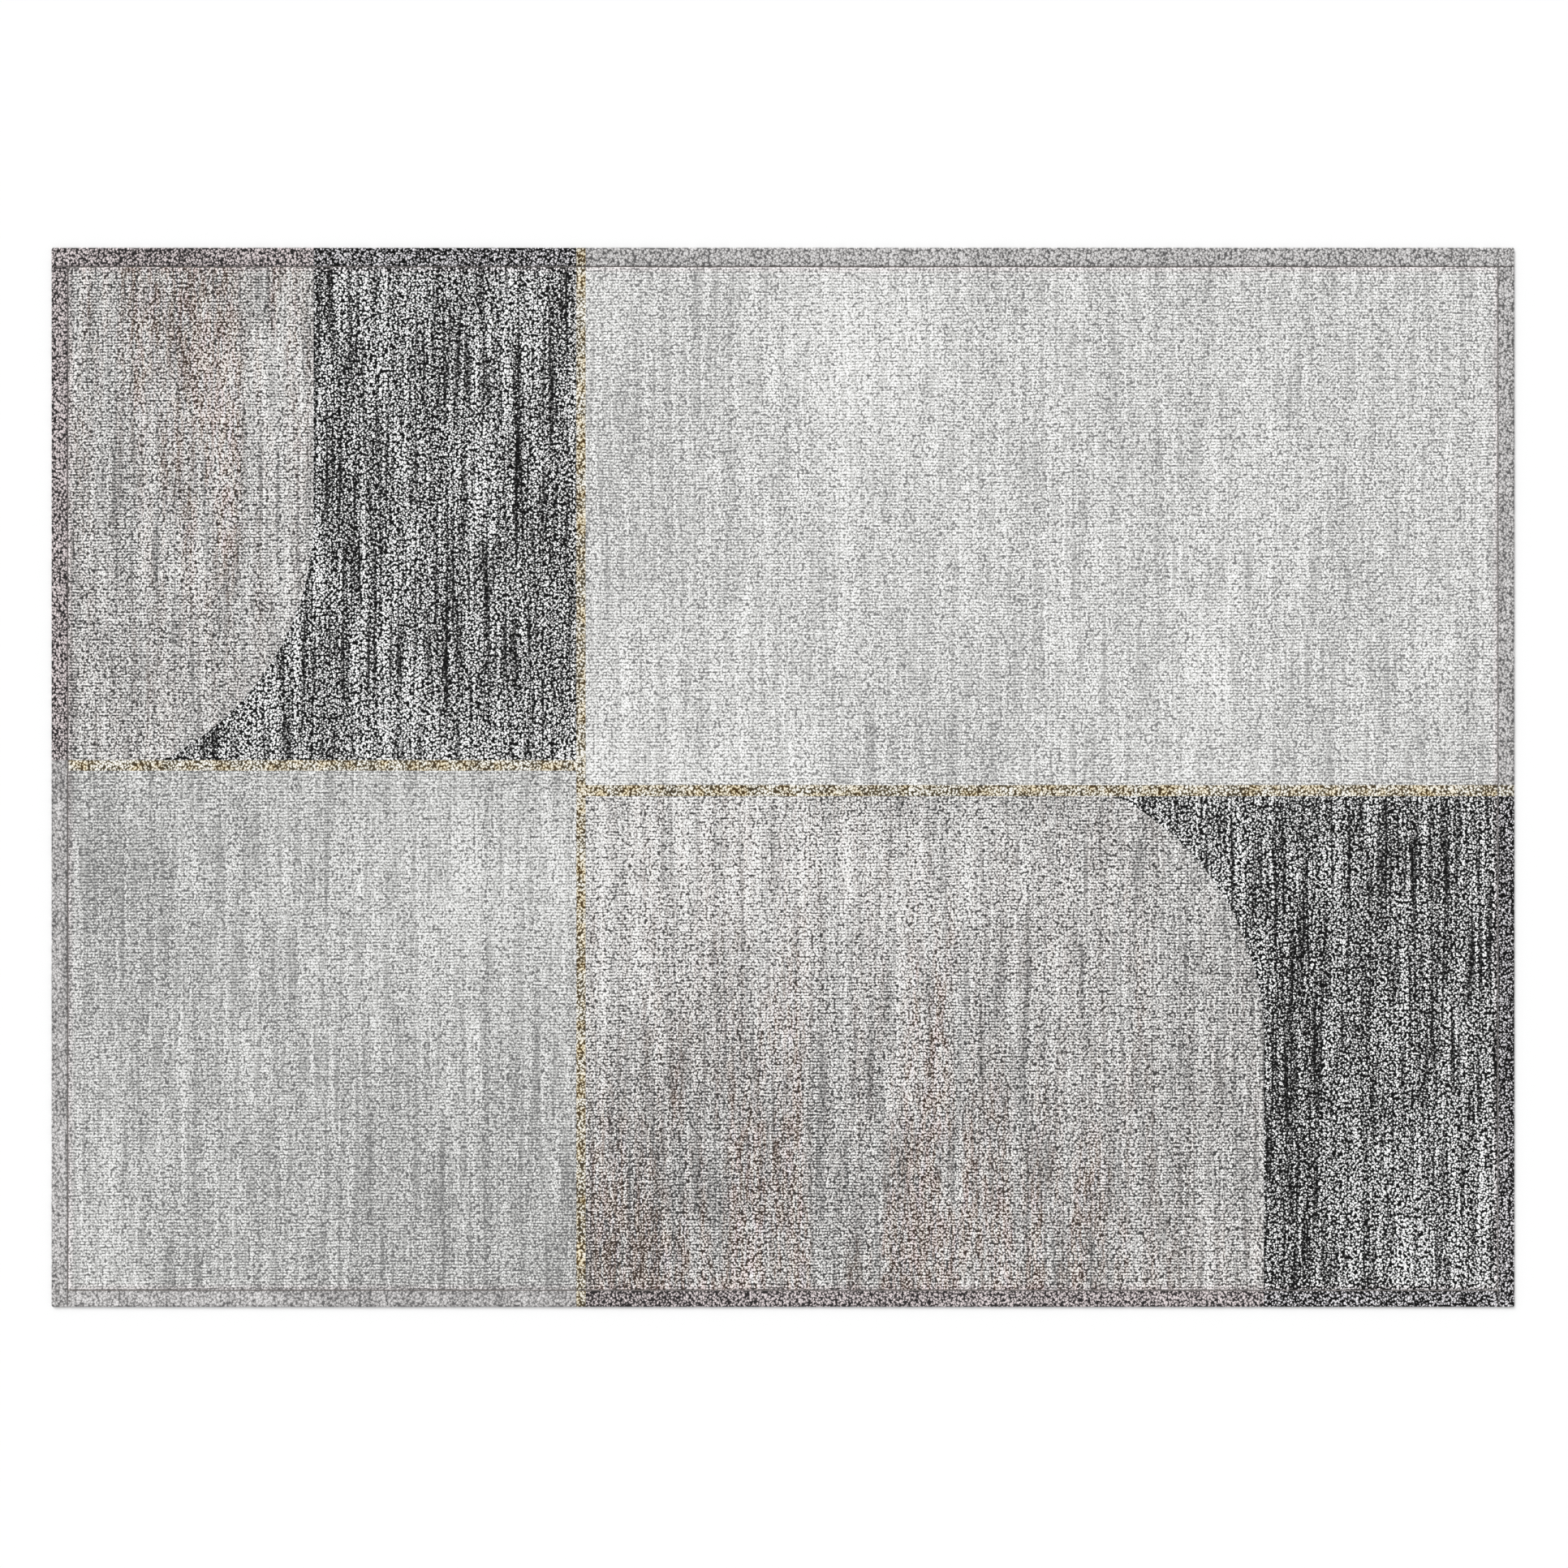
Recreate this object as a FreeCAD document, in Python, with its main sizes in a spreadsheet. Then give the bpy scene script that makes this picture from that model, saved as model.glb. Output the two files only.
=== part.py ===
import FreeCAD, Part
import os
import Sketcher

# A hemmed flat area rug, lying face up. Millimetres, +Z up.
# The origin is on the floor under the middle of the rug, +X runs along its length and
# +Y across its width. "West" and "east" are the short sides, "south" and "north" the long ones.
# From the floor up: backing, bond coat, ground cloth, and the yarn of the coloured fields.
# A strip of hem cloth is folded round each edge, and a lockstitch seam holds it down.

os.makedirs("parts", exist_ok=True)
doc = FreeCAD.newDocument("area_rug")

# ---------------------------------------------------------------- driving dimensions

SIZES = {
    # outside of the rug
    "rug_length": 2210.0,
    "rug_width": 1600.0,
    # layers, from the floor up
    "backing_thickness": 1.5,
    "bond_thickness": 0.4,
    "ground_thickness": 0.8,
    "yarn_thickness": 3.3,
    # hems: width of each band on the face, and how the cloth goes round the edge
    "side_hem_width": 24.0,
    "north_hem_width": 28.0,
    "south_hem_width": 24.0,
    "hem_cloth_thickness": 2.7,
    "hem_fold_thickness": 2.0,
    "hem_turn_under": 8.0,
    "hem_edge_radius": 1.2,
    # seams: the channel that each seam presses in, and the thread lying in it
    "seam_channel": 1.6,
    "thread_width": 0.8,
    "needle_thread_height": 1.2,
    "bobbin_groove_depth": 0.7,
    "bobbin_thread_height": 0.6,
    # gold stripes: width, and distance of the centre line from the west or north edge
    "long_stripe_width": 14.0,
    "long_stripe_from_west": 800.0,
    "west_stripe_width": 16.0,
    "west_stripe_from_north": 782.0,
    "east_stripe_width": 17.0,
    "east_stripe_from_north": 820.0,
    # upper curve, between the taupe and charcoal fields north of the west stripe: where its
    # straight part lies, its radius, and the degrees it turns through before the stripe
    "upper_curve_from_west": 396.0,
    "upper_curve_radius": 405.0,
    "upper_curve_turn": 64.3,
    # lower curve, between the taupe and charcoal fields south of the east stripe, in the same way
    "lower_curve_from_east": 379.0,
    "lower_curve_radius": 417.0,
    "lower_curve_turn": 62.1,
    # care label under the rug, sunk into the backing beside the south hem
    "label_length": 70.0,
    "label_width": 35.0,
    "label_thickness": 0.35,
    "label_from_east": 260.0,
    "label_clearance": 0.5,
    "label_sink": 0.1,
}

sheet = doc.addObject("Spreadsheet::Sheet", "Sizes")
for row, (alias, value) in enumerate(SIZES.items(), start=1):
    sheet.set(f"A{row}", alias)
    sheet.set(f"B{row}", str(value))
    sheet.setAlias(f"B{row}", alias)
doc.recompute()


def of(*names):
    """The sum of these sizes as an expression, in brackets."""
    return "(" + " + ".join(f"Sizes.{name}" for name in names) + ")"


# ---------------------------------------------------------------- places, as expressions

WEST = "(-Sizes.rug_length / 2)"
EAST = "(Sizes.rug_length / 2)"
SOUTH = "(-Sizes.rug_width / 2)"
NORTH = "(Sizes.rug_width / 2)"

# where the seam channels start, measured from the edges inwards
WEST_SEAM = f"({WEST} + Sizes.side_hem_width)"
EAST_SEAM = f"({EAST} - Sizes.side_hem_width)"
SOUTH_SEAM = f"({SOUTH} + Sizes.south_hem_width)"
NORTH_SEAM = f"({NORTH} - Sizes.north_hem_width)"

# the rectangle inside the seams, which the fields and stripes fill
FIELD_WEST = f"({WEST_SEAM} + Sizes.seam_channel)"
FIELD_EAST = f"({EAST_SEAM} - Sizes.seam_channel)"
FIELD_SOUTH = f"({SOUTH_SEAM} + Sizes.seam_channel)"
FIELD_NORTH = f"({NORTH_SEAM} - Sizes.seam_channel)"

# the rectangle inside the turned-under hem cloth, which the backing fills
BACK_WEST = f"({WEST_SEAM} + Sizes.hem_turn_under)"
BACK_EAST = f"({EAST_SEAM} - Sizes.hem_turn_under)"
BACK_SOUTH = f"({SOUTH_SEAM} + Sizes.hem_turn_under)"
BACK_NORTH = f"({NORTH_SEAM} - Sizes.hem_turn_under)"

# the rectangle inside the folds of the hems, which the ground cloth and bond coat fill
CORE_WEST = f"({WEST} + Sizes.hem_fold_thickness)"
CORE_EAST = f"({EAST} - Sizes.hem_fold_thickness)"
CORE_SOUTH = f"({SOUTH} + Sizes.hem_fold_thickness)"
CORE_NORTH = f"({NORTH} - Sizes.hem_fold_thickness)"

# edges of the gold stripes
LONG_STRIPE_WEST = f"({WEST} + Sizes.long_stripe_from_west - Sizes.long_stripe_width / 2)"
LONG_STRIPE_EAST = f"({LONG_STRIPE_WEST} + Sizes.long_stripe_width)"
WEST_STRIPE_SOUTH = f"({NORTH} - Sizes.west_stripe_from_north - Sizes.west_stripe_width / 2)"
WEST_STRIPE_NORTH = f"({WEST_STRIPE_SOUTH} + Sizes.west_stripe_width)"
EAST_STRIPE_SOUTH = f"({NORTH} - Sizes.east_stripe_from_north - Sizes.east_stripe_width / 2)"
EAST_STRIPE_NORTH = f"({EAST_STRIPE_SOUTH} + Sizes.east_stripe_width)"

# heights of the layers' undersides
FLOOR = "0"
GROUND_FLOOR = of("backing_thickness", "bond_thickness")
YARN_FLOOR = of("backing_thickness", "bond_thickness", "ground_thickness")


# ---------------------------------------------------------------- building helpers


def minus(far, near):
    """The distance from one place to another, as an expression."""
    return f"({far} - {near})"


def new_body(label, x, y, z):
    """An empty body for one sub-part, placed by three expressions."""
    body = doc.addObject("PartDesign::Body", label)
    body.Label = label
    for axis, place in zip("xyz", (x, y, z)):
        body.setExpression(f".Placement.Base.{axis}", place)
    return body


def new_sketch(body, name, x="0", y="0", z="0"):
    """A sketch parallel to the body's own XY plane, with its origin at x, y, z in the body."""
    plane = next(f for f in body.Origin.OriginFeatures if f.Role == "XY_Plane")
    sketch = body.newObject("Sketcher::SketchObject", name)
    sketch.AttachmentSupport = [(plane, "")]
    sketch.MapMode = "FlatFace"
    for axis, place in zip("xyz", (x, y, z)):
        sketch.setExpression(f".AttachmentOffset.Base.{axis}", place)
    return sketch


def bind(sketch, name, constraint, size):
    """Adds a named dimension to a sketch and ties it to an expression."""
    sketch.renameConstraint(sketch.addConstraint(constraint), name)
    sketch.setExpression(f"Constraints.{name}", size)


def add_rectangle(sketch, length, width):
    """A rectangle with its south-west corner on the sketch's origin."""
    corners = [FreeCAD.Vector(x, y, 0) for x, y in ((0, 0), (9, 0), (9, 9), (0, 9))]
    for side in range(4):
        sketch.addGeometry(Part.LineSegment(corners[side], corners[(side + 1) % 4]), False)
    for side in range(4):
        sketch.addConstraint(Sketcher.Constraint("Coincident", side, 2, (side + 1) % 4, 1))
        direction = "Vertical" if side % 2 else "Horizontal"
        sketch.addConstraint(Sketcher.Constraint(direction, side))
    sketch.addConstraint(Sketcher.Constraint("Coincident", 0, 1, -1, 1))
    bind(sketch, "length", Sketcher.Constraint("DistanceX", 0, 1, 0, 2, 9.0), length)
    bind(sketch, "width", Sketcher.Constraint("DistanceY", 1, 1, 1, 2, 9.0), width)


def add_pad(body, sketch, height):
    """Raises a sketch to a slab of this height."""
    pad = body.newObject("PartDesign::Pad", sketch.Name.replace("sketch", "pad"))
    pad.Profile = sketch
    pad.setExpression("Length", height)
    sketch.Visibility = False
    doc.recompute()
    return pad


def add_slab(body, name, x, y, z, length, width, height):
    """One rectangular slab of a body: its corner in the body, and its three sizes."""
    sketch = new_sketch(body, f"{name}_sketch", x, y, z)
    add_rectangle(sketch, length, width)
    return add_pad(body, sketch, height)


def cut_slab(body, name, x, y, length, width, depth):
    """Cuts a rectangular recess into the underside of a body, and checks that it cut."""
    before = body.Shape.Volume
    sketch = new_sketch(body, f"{name}_sketch", x, y)
    add_rectangle(sketch, length, width)
    pocket = body.newObject("PartDesign::Pocket", f"{name}_pocket")
    pocket.Profile = sketch
    pocket.Reversed = True
    pocket.setExpression("Length", depth)
    sketch.Visibility = False
    doc.recompute()
    if body.Shape.Volume >= before:
        raise RuntimeError(f"{name} cut nothing from {body.Label}")


def slab_part(label, west, east, south, north, floor, height):
    """A sub-part that is one rectangular slab between four edges."""
    body = new_body(label, west, south, floor)
    add_slab(body, label, "0", "0", "0", minus(east, west), minus(north, south), height)
    return body


# ---------------------------------------------------------------- layers


def make_layers():
    """The ground cloth that the yarn stands on, the bond coat under it, and the backing."""
    core = (CORE_WEST, CORE_EAST, CORE_SOUTH, CORE_NORTH)
    ground = slab_part("ground_cloth", *core, GROUND_FLOOR, of("ground_thickness"))
    bond = slab_part("bond_coat", *core, of("backing_thickness"), of("bond_thickness"))
    back = (BACK_WEST, BACK_EAST, BACK_SOUTH, BACK_NORTH)
    backing = slab_part("non_slip_backing", *back, FLOOR, of("backing_thickness"))
    return [ground, bond, backing]


# ---------------------------------------------------------------- fields and stripes


def make_plain_fields():
    """The two rectangular fields, and the three gold stripes that part the fields."""
    yarn = of("yarn_thickness")
    return [
        slab_part("field_pale_north_east", LONG_STRIPE_EAST, FIELD_EAST,
                  EAST_STRIPE_NORTH, FIELD_NORTH, YARN_FLOOR, yarn),
        slab_part("field_grey_south_west", FIELD_WEST, LONG_STRIPE_WEST,
                  FIELD_SOUTH, WEST_STRIPE_SOUTH, YARN_FLOOR, yarn),
        slab_part("gold_stripe_long", LONG_STRIPE_WEST, LONG_STRIPE_EAST,
                  FIELD_SOUTH, FIELD_NORTH, YARN_FLOOR, yarn),
        slab_part("gold_stripe_west", FIELD_WEST, LONG_STRIPE_WEST,
                  WEST_STRIPE_SOUTH, WEST_STRIPE_NORTH, YARN_FLOOR, yarn),
        slab_part("gold_stripe_east", LONG_STRIPE_EAST, FIELD_EAST,
                  EAST_STRIPE_SOUTH, EAST_STRIPE_NORTH, YARN_FLOOR, yarn),
    ]


def curved_field(label, corner, convex, stripe_side, spans):
    """A field bounded by a gold stripe, a hem, and a line that curves into the stripe.

    The line runs straight in from the hem, then follows an arc, tangent to it, that bends west
    and ends on the stripe. The field on its west is convex, and the one on its east concave.
    corner is the place of the block's west corner on the stripe, stripe_side says which side of
    the block the stripe is on, and spans has the block's lengths as expressions.
    """
    now = {key: float(sheet.evalExpression(text)) for key, text in spans.items()}
    up = 1.0 if stripe_side == "south" else -1.0
    centre_x = now["line_x"] - now["radius"]
    foot_x = centre_x + (now["radius"] ** 2 - now["arc_top"] ** 2) ** 0.5
    side_x = 0.0 if convex else now["far"]
    halfway = now["radius"] * 0.5 ** 0.5

    def point(x, y):
        return FreeCAD.Vector(x, up * y, 0)

    foot = point(foot_x, 0)
    on_stripe = point(side_x, 0)
    at_hem = point(side_x, now["height"])
    line_at_hem = point(now["line_x"], now["height"])
    line_end = point(now["line_x"], now["arc_top"])
    arc_middle = point(centre_x + halfway, now["arc_top"] - halfway)

    body = new_body(label, *corner, YARN_FLOOR)
    sketch = new_sketch(body, f"{label}_sketch")
    # edges 0 to 4: along the stripe, the far side, along the hem, the straight line, the arc
    sketch.addGeometry(Part.LineSegment(foot, on_stripe), False)
    sketch.addGeometry(Part.LineSegment(on_stripe, at_hem), False)
    sketch.addGeometry(Part.LineSegment(at_hem, line_at_hem), False)
    sketch.addGeometry(Part.LineSegment(line_at_hem, line_end), False)
    sketch.addGeometry(Part.Arc(line_end, arc_middle, foot), False)
    # a sketch keeps its arcs anticlockwise, so which end comes first depends on the side
    at_line, at_foot = (2, 1) if up > 0 else (1, 2)
    for edge in range(3):
        sketch.addConstraint(Sketcher.Constraint("Coincident", edge, 2, edge + 1, 1))
    sketch.addConstraint(Sketcher.Constraint("Tangent", 3, 2, 4, at_line))
    sketch.addConstraint(Sketcher.Constraint("Coincident", 4, at_foot, 0, 1))
    for edge, direction in enumerate(("Horizontal", "Vertical", "Horizontal", "Vertical")):
        sketch.addConstraint(Sketcher.Constraint(direction, edge))

    def bind_height(name, end):
        """The height of a point above the stripe."""
        ends = (0, 2, *end) if up > 0 else (*end, 0, 2)
        bind(sketch, name, Sketcher.Constraint("DistanceY", *ends, now[name]), spans[name])

    if convex:
        sketch.addConstraint(Sketcher.Constraint("Coincident", 0, 2, -1, 1))
    else:
        sketch.addConstraint(Sketcher.Constraint("PointOnObject", 0, 1, -1))
        far = Sketcher.Constraint("DistanceX", -1, 1, 0, 2, now["far"])
        bind(sketch, "far", far, spans["far"])
    line_x = Sketcher.Constraint("DistanceX", -1, 1, 3, 1, now["line_x"])
    bind(sketch, "line_x", line_x, spans["line_x"])
    bind_height("height", (1, 2))
    bind_height("arc_top", (3, 2))
    bind(sketch, "radius", Sketcher.Constraint("Radius", 4, now["radius"]), spans["radius"])
    add_pad(body, sketch, of("yarn_thickness"))
    return body


def make_curved_fields():
    """The taupe and charcoal fields on each side of the two curves."""
    upper = {
        "line_x": minus(f"({WEST} + Sizes.upper_curve_from_west)", FIELD_WEST),
        "height": minus(FIELD_NORTH, WEST_STRIPE_NORTH),
        "arc_top": "(Sizes.upper_curve_radius * sin(Sizes.upper_curve_turn * 1 deg))",
        "radius": of("upper_curve_radius"),
        "far": minus(LONG_STRIPE_WEST, FIELD_WEST),
    }
    lower = {
        "line_x": minus(f"({EAST} - Sizes.lower_curve_from_east)", LONG_STRIPE_EAST),
        "height": minus(EAST_STRIPE_SOUTH, FIELD_SOUTH),
        "arc_top": "(Sizes.lower_curve_radius * sin(Sizes.lower_curve_turn * 1 deg))",
        "radius": of("lower_curve_radius"),
        "far": minus(FIELD_EAST, LONG_STRIPE_EAST),
    }
    upper_corner = (FIELD_WEST, WEST_STRIPE_NORTH)
    lower_corner = (LONG_STRIPE_EAST, EAST_STRIPE_SOUTH)
    return [
        curved_field("field_taupe_north_west", upper_corner, True, "south", upper),
        curved_field("field_charcoal_north", upper_corner, False, "south", upper),
        curved_field("field_taupe_south", lower_corner, True, "north", lower),
        curved_field("field_charcoal_south_east", lower_corner, False, "north", lower),
    ]


# ---------------------------------------------------------------- hems


def round_outer_edges(body, side):
    """Rounds the two long edges of a hem's fold, which lie in the plane of the rug's edge."""
    tip = body.Tip
    whole = tip.Shape.BoundBox
    across, along, end = {
        "west": ("X", "Y", "Min"),
        "east": ("X", "Y", "Max"),
        "south": ("Y", "X", "Min"),
        "north": ("Y", "X", "Max"),
    }[side]
    rug_edge = getattr(whole, across + end)
    half_run = getattr(whole, along + "Length") / 2
    names = []
    for number, edge in enumerate(tip.Shape.Edges, start=1):
        box = edge.BoundBox
        in_plane = all(abs(getattr(box, across + e) - rug_edge) < 0.01 for e in ("Min", "Max"))
        if in_plane and getattr(box, along + "Length") > half_run:
            names.append(f"Edge{number}")
    if len(names) != 2:
        raise RuntimeError(f"{body.Label} has {len(names)} long outer edges")
    fillet = body.newObject("PartDesign::Fillet", f"{body.Name}_rounding")
    fillet.Base = (tip, names)
    fillet.setExpression("Radius", of("hem_edge_radius"))
    doc.recompute()


def add_fold(body, name, x, y, length, width):
    """A stretch of the hem cloth that stands between the underside and the face."""
    height = of("bond_thickness", "ground_thickness", "hem_cloth_thickness")
    add_slab(body, name, x, y, of("backing_thickness"), length, width, height)


def make_side_hem(label, east_side):
    """A short side's hem: from the south edge up to the channel of the north seam."""
    band = of("side_hem_width")
    under = of("side_hem_width", "hem_turn_under")
    fold = of("hem_fold_thickness")
    band_run = minus(FIELD_NORTH, SOUTH)
    under_run = minus(BACK_NORTH, SOUTH)
    band_x = of("hem_turn_under") if east_side else "0"
    fold_x = minus(under, fold) if east_side else "0"
    groove_x = minus(of("hem_turn_under"), of("seam_channel")) if east_side else band
    body = new_body(label, BACK_EAST if east_side else WEST, SOUTH, FLOOR)
    add_slab(body, f"{label}_underside", "0", "0", "0",
             under, under_run, of("backing_thickness"))
    add_fold(body, f"{label}_fold", fold_x, "0", fold, band_run)
    add_fold(body, f"{label}_end", band_x, "0", band, fold)
    add_slab(body, f"{label}_band", band_x, "0", YARN_FLOOR,
             band, band_run, of("hem_cloth_thickness"))
    cut_slab(body, f"{label}_groove", groove_x, "0",
             of("seam_channel"), under_run, of("bobbin_groove_depth"))
    round_outer_edges(body, "east" if east_side else "west")
    return body


def make_north_hem():
    """The north hem, sewn last: it runs over both side hems to the corners."""
    band = of("north_hem_width")
    under = of("north_hem_width", "hem_turn_under")
    fold = of("hem_fold_thickness")
    length = of("rug_length")
    band_y = of("hem_turn_under")
    body = new_body("hem_north", WEST, BACK_NORTH, FLOOR)
    add_slab(body, "hem_north_underside", "0", "0", "0",
             length, under, of("backing_thickness"))
    add_fold(body, "hem_north_fold", "0", minus(under, fold), length, fold)
    add_fold(body, "hem_north_west_end", "0", band_y, fold, band)
    add_fold(body, "hem_north_east_end", minus(length, fold), band_y, fold, band)
    add_slab(body, "hem_north_band", "0", band_y, YARN_FLOOR,
             length, band, of("hem_cloth_thickness"))
    cut_slab(body, "hem_north_groove", "0", minus(band_y, of("seam_channel")),
             length, of("seam_channel"), of("bobbin_groove_depth"))
    round_outer_edges(body, "north")
    return body


def make_south_hem():
    """The south hem, sewn first: it lies between the two side hems."""
    band = of("south_hem_width")
    under = of("south_hem_width", "hem_turn_under")
    band_x = minus(FIELD_WEST, BACK_WEST)
    band_run = minus(FIELD_EAST, FIELD_WEST)
    under_run = minus(BACK_EAST, BACK_WEST)
    body = new_body("hem_south", BACK_WEST, SOUTH, FLOOR)
    add_slab(body, "hem_south_underside", "0", "0", "0",
             under_run, under, of("backing_thickness"))
    add_fold(body, "hem_south_fold", band_x, "0", band_run, of("hem_fold_thickness"))
    add_slab(body, "hem_south_band", band_x, "0", YARN_FLOOR,
             band_run, band, of("hem_cloth_thickness"))
    cut_slab(body, "hem_south_groove", "0", band,
             under_run, of("seam_channel"), of("bobbin_groove_depth"))
    round_outer_edges(body, "south")
    return body


# ---------------------------------------------------------------- seams and label


def make_seams():
    """Each seam's needle thread on the face and its bobbin thread under the rug."""
    inset = "(Sizes.seam_channel - Sizes.thread_width) / 2"
    width = of("thread_width")

    def strip(start):
        """A thread's two edges, in the middle of the channel that starts here."""
        low = f"({start} + {inset})"
        return low, f"({low} + {width})"

    west = strip(WEST_SEAM)
    east = strip(f"({EAST_SEAM} - Sizes.seam_channel)")
    south = strip(SOUTH_SEAM)
    north = strip(f"({NORTH_SEAM} - Sizes.seam_channel)")
    face_runs = {
        "west": (*west, CORE_SOUTH, FIELD_NORTH),
        "east": (*east, CORE_SOUTH, FIELD_NORTH),
        "south": (FIELD_WEST, FIELD_EAST, *south),
        "north": (CORE_WEST, CORE_EAST, *north),
    }
    under_runs = {
        "west": (*west, CORE_SOUTH, BACK_NORTH),
        "east": (*east, CORE_SOUTH, BACK_NORTH),
        "south": (BACK_WEST, BACK_EAST, *south),
        "north": (CORE_WEST, CORE_EAST, *north),
    }
    bobbin_floor = minus(of("bobbin_groove_depth"), of("bobbin_thread_height"))
    made = []
    for side in face_runs:
        made.append(slab_part(f"needle_thread_{side}", *face_runs[side],
                              YARN_FLOOR, of("needle_thread_height")))
        made.append(slab_part(f"bobbin_thread_{side}", *under_runs[side],
                              bobbin_floor, of("bobbin_thread_height")))
    return made


def make_label(backing):
    """A blank woven care label, pressed into a recess of the backing beside the south hem."""
    gap = of("label_clearance")
    west = f"({EAST} - Sizes.label_from_east)"
    south = f"({BACK_SOUTH} + {gap})"
    cut_slab(backing, "label_recess",
             minus(f"({west} - {gap})", BACK_WEST), "0",
             f"(Sizes.label_length + 2 * {gap})", f"(Sizes.label_width + 2 * {gap})",
             of("label_thickness", "label_sink"))
    return slab_part("care_label", west, f"({west} + Sizes.label_length)",
                     south, f"({south} + Sizes.label_width)",
                     of("label_sink"), of("label_thickness"))


# ---------------------------------------------------------------- build, check and write


layers = make_layers()
sub_parts = layers + make_plain_fields() + make_curved_fields()
sub_parts += [
    make_side_hem("hem_west", east_side=False),
    make_side_hem("hem_east", east_side=True),
    make_north_hem(),
    make_south_hem(),
]
sub_parts += make_seams()
sub_parts.append(make_label(backing=layers[-1]))
doc.recompute()

for item in doc.Objects:
    if "Invalid" in item.State or "Error" in item.State:
        raise RuntimeError(f"{item.Label} failed: {item.State}")
for part in sub_parts:
    if part.Shape.isNull() or not part.Shape.isValid():
        raise RuntimeError(f"{part.Label} has no valid shape")
    if len(part.Shape.Solids) != 1:
        raise RuntimeError(f"{part.Label} has {len(part.Shape.Solids)} solids")

for part in sub_parts:
    part.Shape.exportStep(f"parts/{part.Label}.step")
    box = part.Shape.BoundBox
    print(f"{part.Label:28s} {part.Shape.Volume / 1000:9.1f} cm3  "
          f"x {box.XMin:8.1f} {box.XMax:8.1f}  y {box.YMin:7.1f} {box.YMax:7.1f}  "
          f"z {box.ZMin:5.2f} {box.ZMax:5.2f}")
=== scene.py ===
"""Looks of the area rug: woven colour fields, folded hems, lockstitch seams and a felt backing.

Every place comes from the CAD frame. Lengths are in metres. X runs along the rug, Y across it,
and Z is up from the floor.
"""

import math
from typing import Callable, NamedTuple

import bpy
import numpy as np
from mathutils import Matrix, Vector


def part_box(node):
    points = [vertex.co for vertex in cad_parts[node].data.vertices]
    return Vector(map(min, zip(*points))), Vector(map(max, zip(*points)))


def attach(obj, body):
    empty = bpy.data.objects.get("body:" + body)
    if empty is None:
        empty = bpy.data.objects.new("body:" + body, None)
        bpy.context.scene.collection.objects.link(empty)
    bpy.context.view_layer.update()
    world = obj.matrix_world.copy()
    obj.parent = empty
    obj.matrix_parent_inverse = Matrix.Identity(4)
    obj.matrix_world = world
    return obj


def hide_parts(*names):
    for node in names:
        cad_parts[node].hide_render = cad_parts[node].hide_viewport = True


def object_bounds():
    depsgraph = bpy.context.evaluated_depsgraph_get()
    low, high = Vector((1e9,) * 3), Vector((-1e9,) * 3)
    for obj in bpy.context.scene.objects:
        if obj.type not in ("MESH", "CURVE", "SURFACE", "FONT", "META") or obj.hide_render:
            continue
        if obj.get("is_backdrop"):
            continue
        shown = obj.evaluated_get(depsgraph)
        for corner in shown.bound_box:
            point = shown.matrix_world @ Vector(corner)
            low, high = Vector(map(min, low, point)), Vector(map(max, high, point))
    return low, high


class Layer(NamedTuple):
    """One kind of noise in a material: the size of its bumps, its detail and its strength."""

    size_x: float
    size_y: float
    detail: float
    strength: float


FULL_TURN = 2 * math.pi
NOISE_CELLS = 256  # soft noise repeats after this many bumps

# Weave
RIB_PITCH = 0.0045  # from one rib to the next, across the rug
RIB_RISE = 0.0010  # a rib's crest over the gap beside it
RIB_DRIFT = 0.0030  # how far a rib strays from its straight line
DRIFT_LENGTH = 0.160  # the stretch along a rib over which it strays
DRIFT_WIDTH = 0.070
SLUB_LENGTH = 0.011  # a thick or thin place in the yarn
SLUB_SHARE = 0.36  # a slub's height, as a share of the rib's
SLUB_IN_GAP = 0.4  # how much of that it has in a gap between ribs
NUB_SIZE = 0.0030  # a loop of the nubby yarn
NUB_RISE = 0.0012
NUB_CONTRAST = 0.75  # how far single loops differ in height
CLUMP_LENGTH = 2.2 * NUB_SIZE
CLUMP_WIDTH = 3 * NUB_SIZE
CLUMP_CONTRAST = 0.3
ROW_STEP = 0.0011  # mesh rows: four to a rib
RIBBED_STEP = 0.0055  # mesh columns where the weave is ribbed
NUBBED_STEP = 0.0022  # both ways where it is nubby
STRIPE_STEP = 0.0015
YARN_SINK = 0.0002  # the face's highest crests stay this far under the CAD top

# Yarn
FLECK_SIZE = (0.0034, 0.0035)  # a loop of the ribbed yarn, along and across a rib
NUBBY_FLECK_SIZE = (0.0037, 0.0038)
LOOP_MEAN_REACH = 0.43  # the mean distance from a point to its loop's middle, in loops
LOOP_BEND = 1.5  # how far a loop is bent out of round, in loops
LOOP_BEND_SCALE = 0.8  # bends to a loop
LOOP_VARIETY = 0.14  # how far whole loops differ, next to the painted shade inside a loop
STRAND_LENGTH = 0.0035  # the fine strands that a yarn is spun from
STRAND_WIDTH = 0.0005
MEAN_PILE = 0.6  # the height at which the painted gap shade leaves the yarn's tone as it is: lower is painted shade, higher is painted light
BASE_LIVELINESS = 0.9  # how strong the grain is, and what streaks and blooms add to that
STREAK_LIVELINESS = 2.4
BLOOM_LIVELINESS = 0.6

# Edges
LIP_WIDTH = 0.008  # the cloth that puffs up beside a seam
LIP_RISE = 0.0005
LIP_TINT_REACH = 1.3  # how far the lip's tint reaches, in lip widths
TUCK_DEPTH = 0.0016  # how far a seam pulls the cloth down
TUCK_WIDTH = 0.0012
# Mesh columns close together beside a side seam
SIDE_STEPS = (0.0006, 0.0014, 0.0024, 0.0036, 0.0048, 0.0062, 0.0076, 0.0090)
CURVE_RADIUS_NORTH = 0.405
CURVE_RADIUS_SOUTH = 0.417

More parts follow.
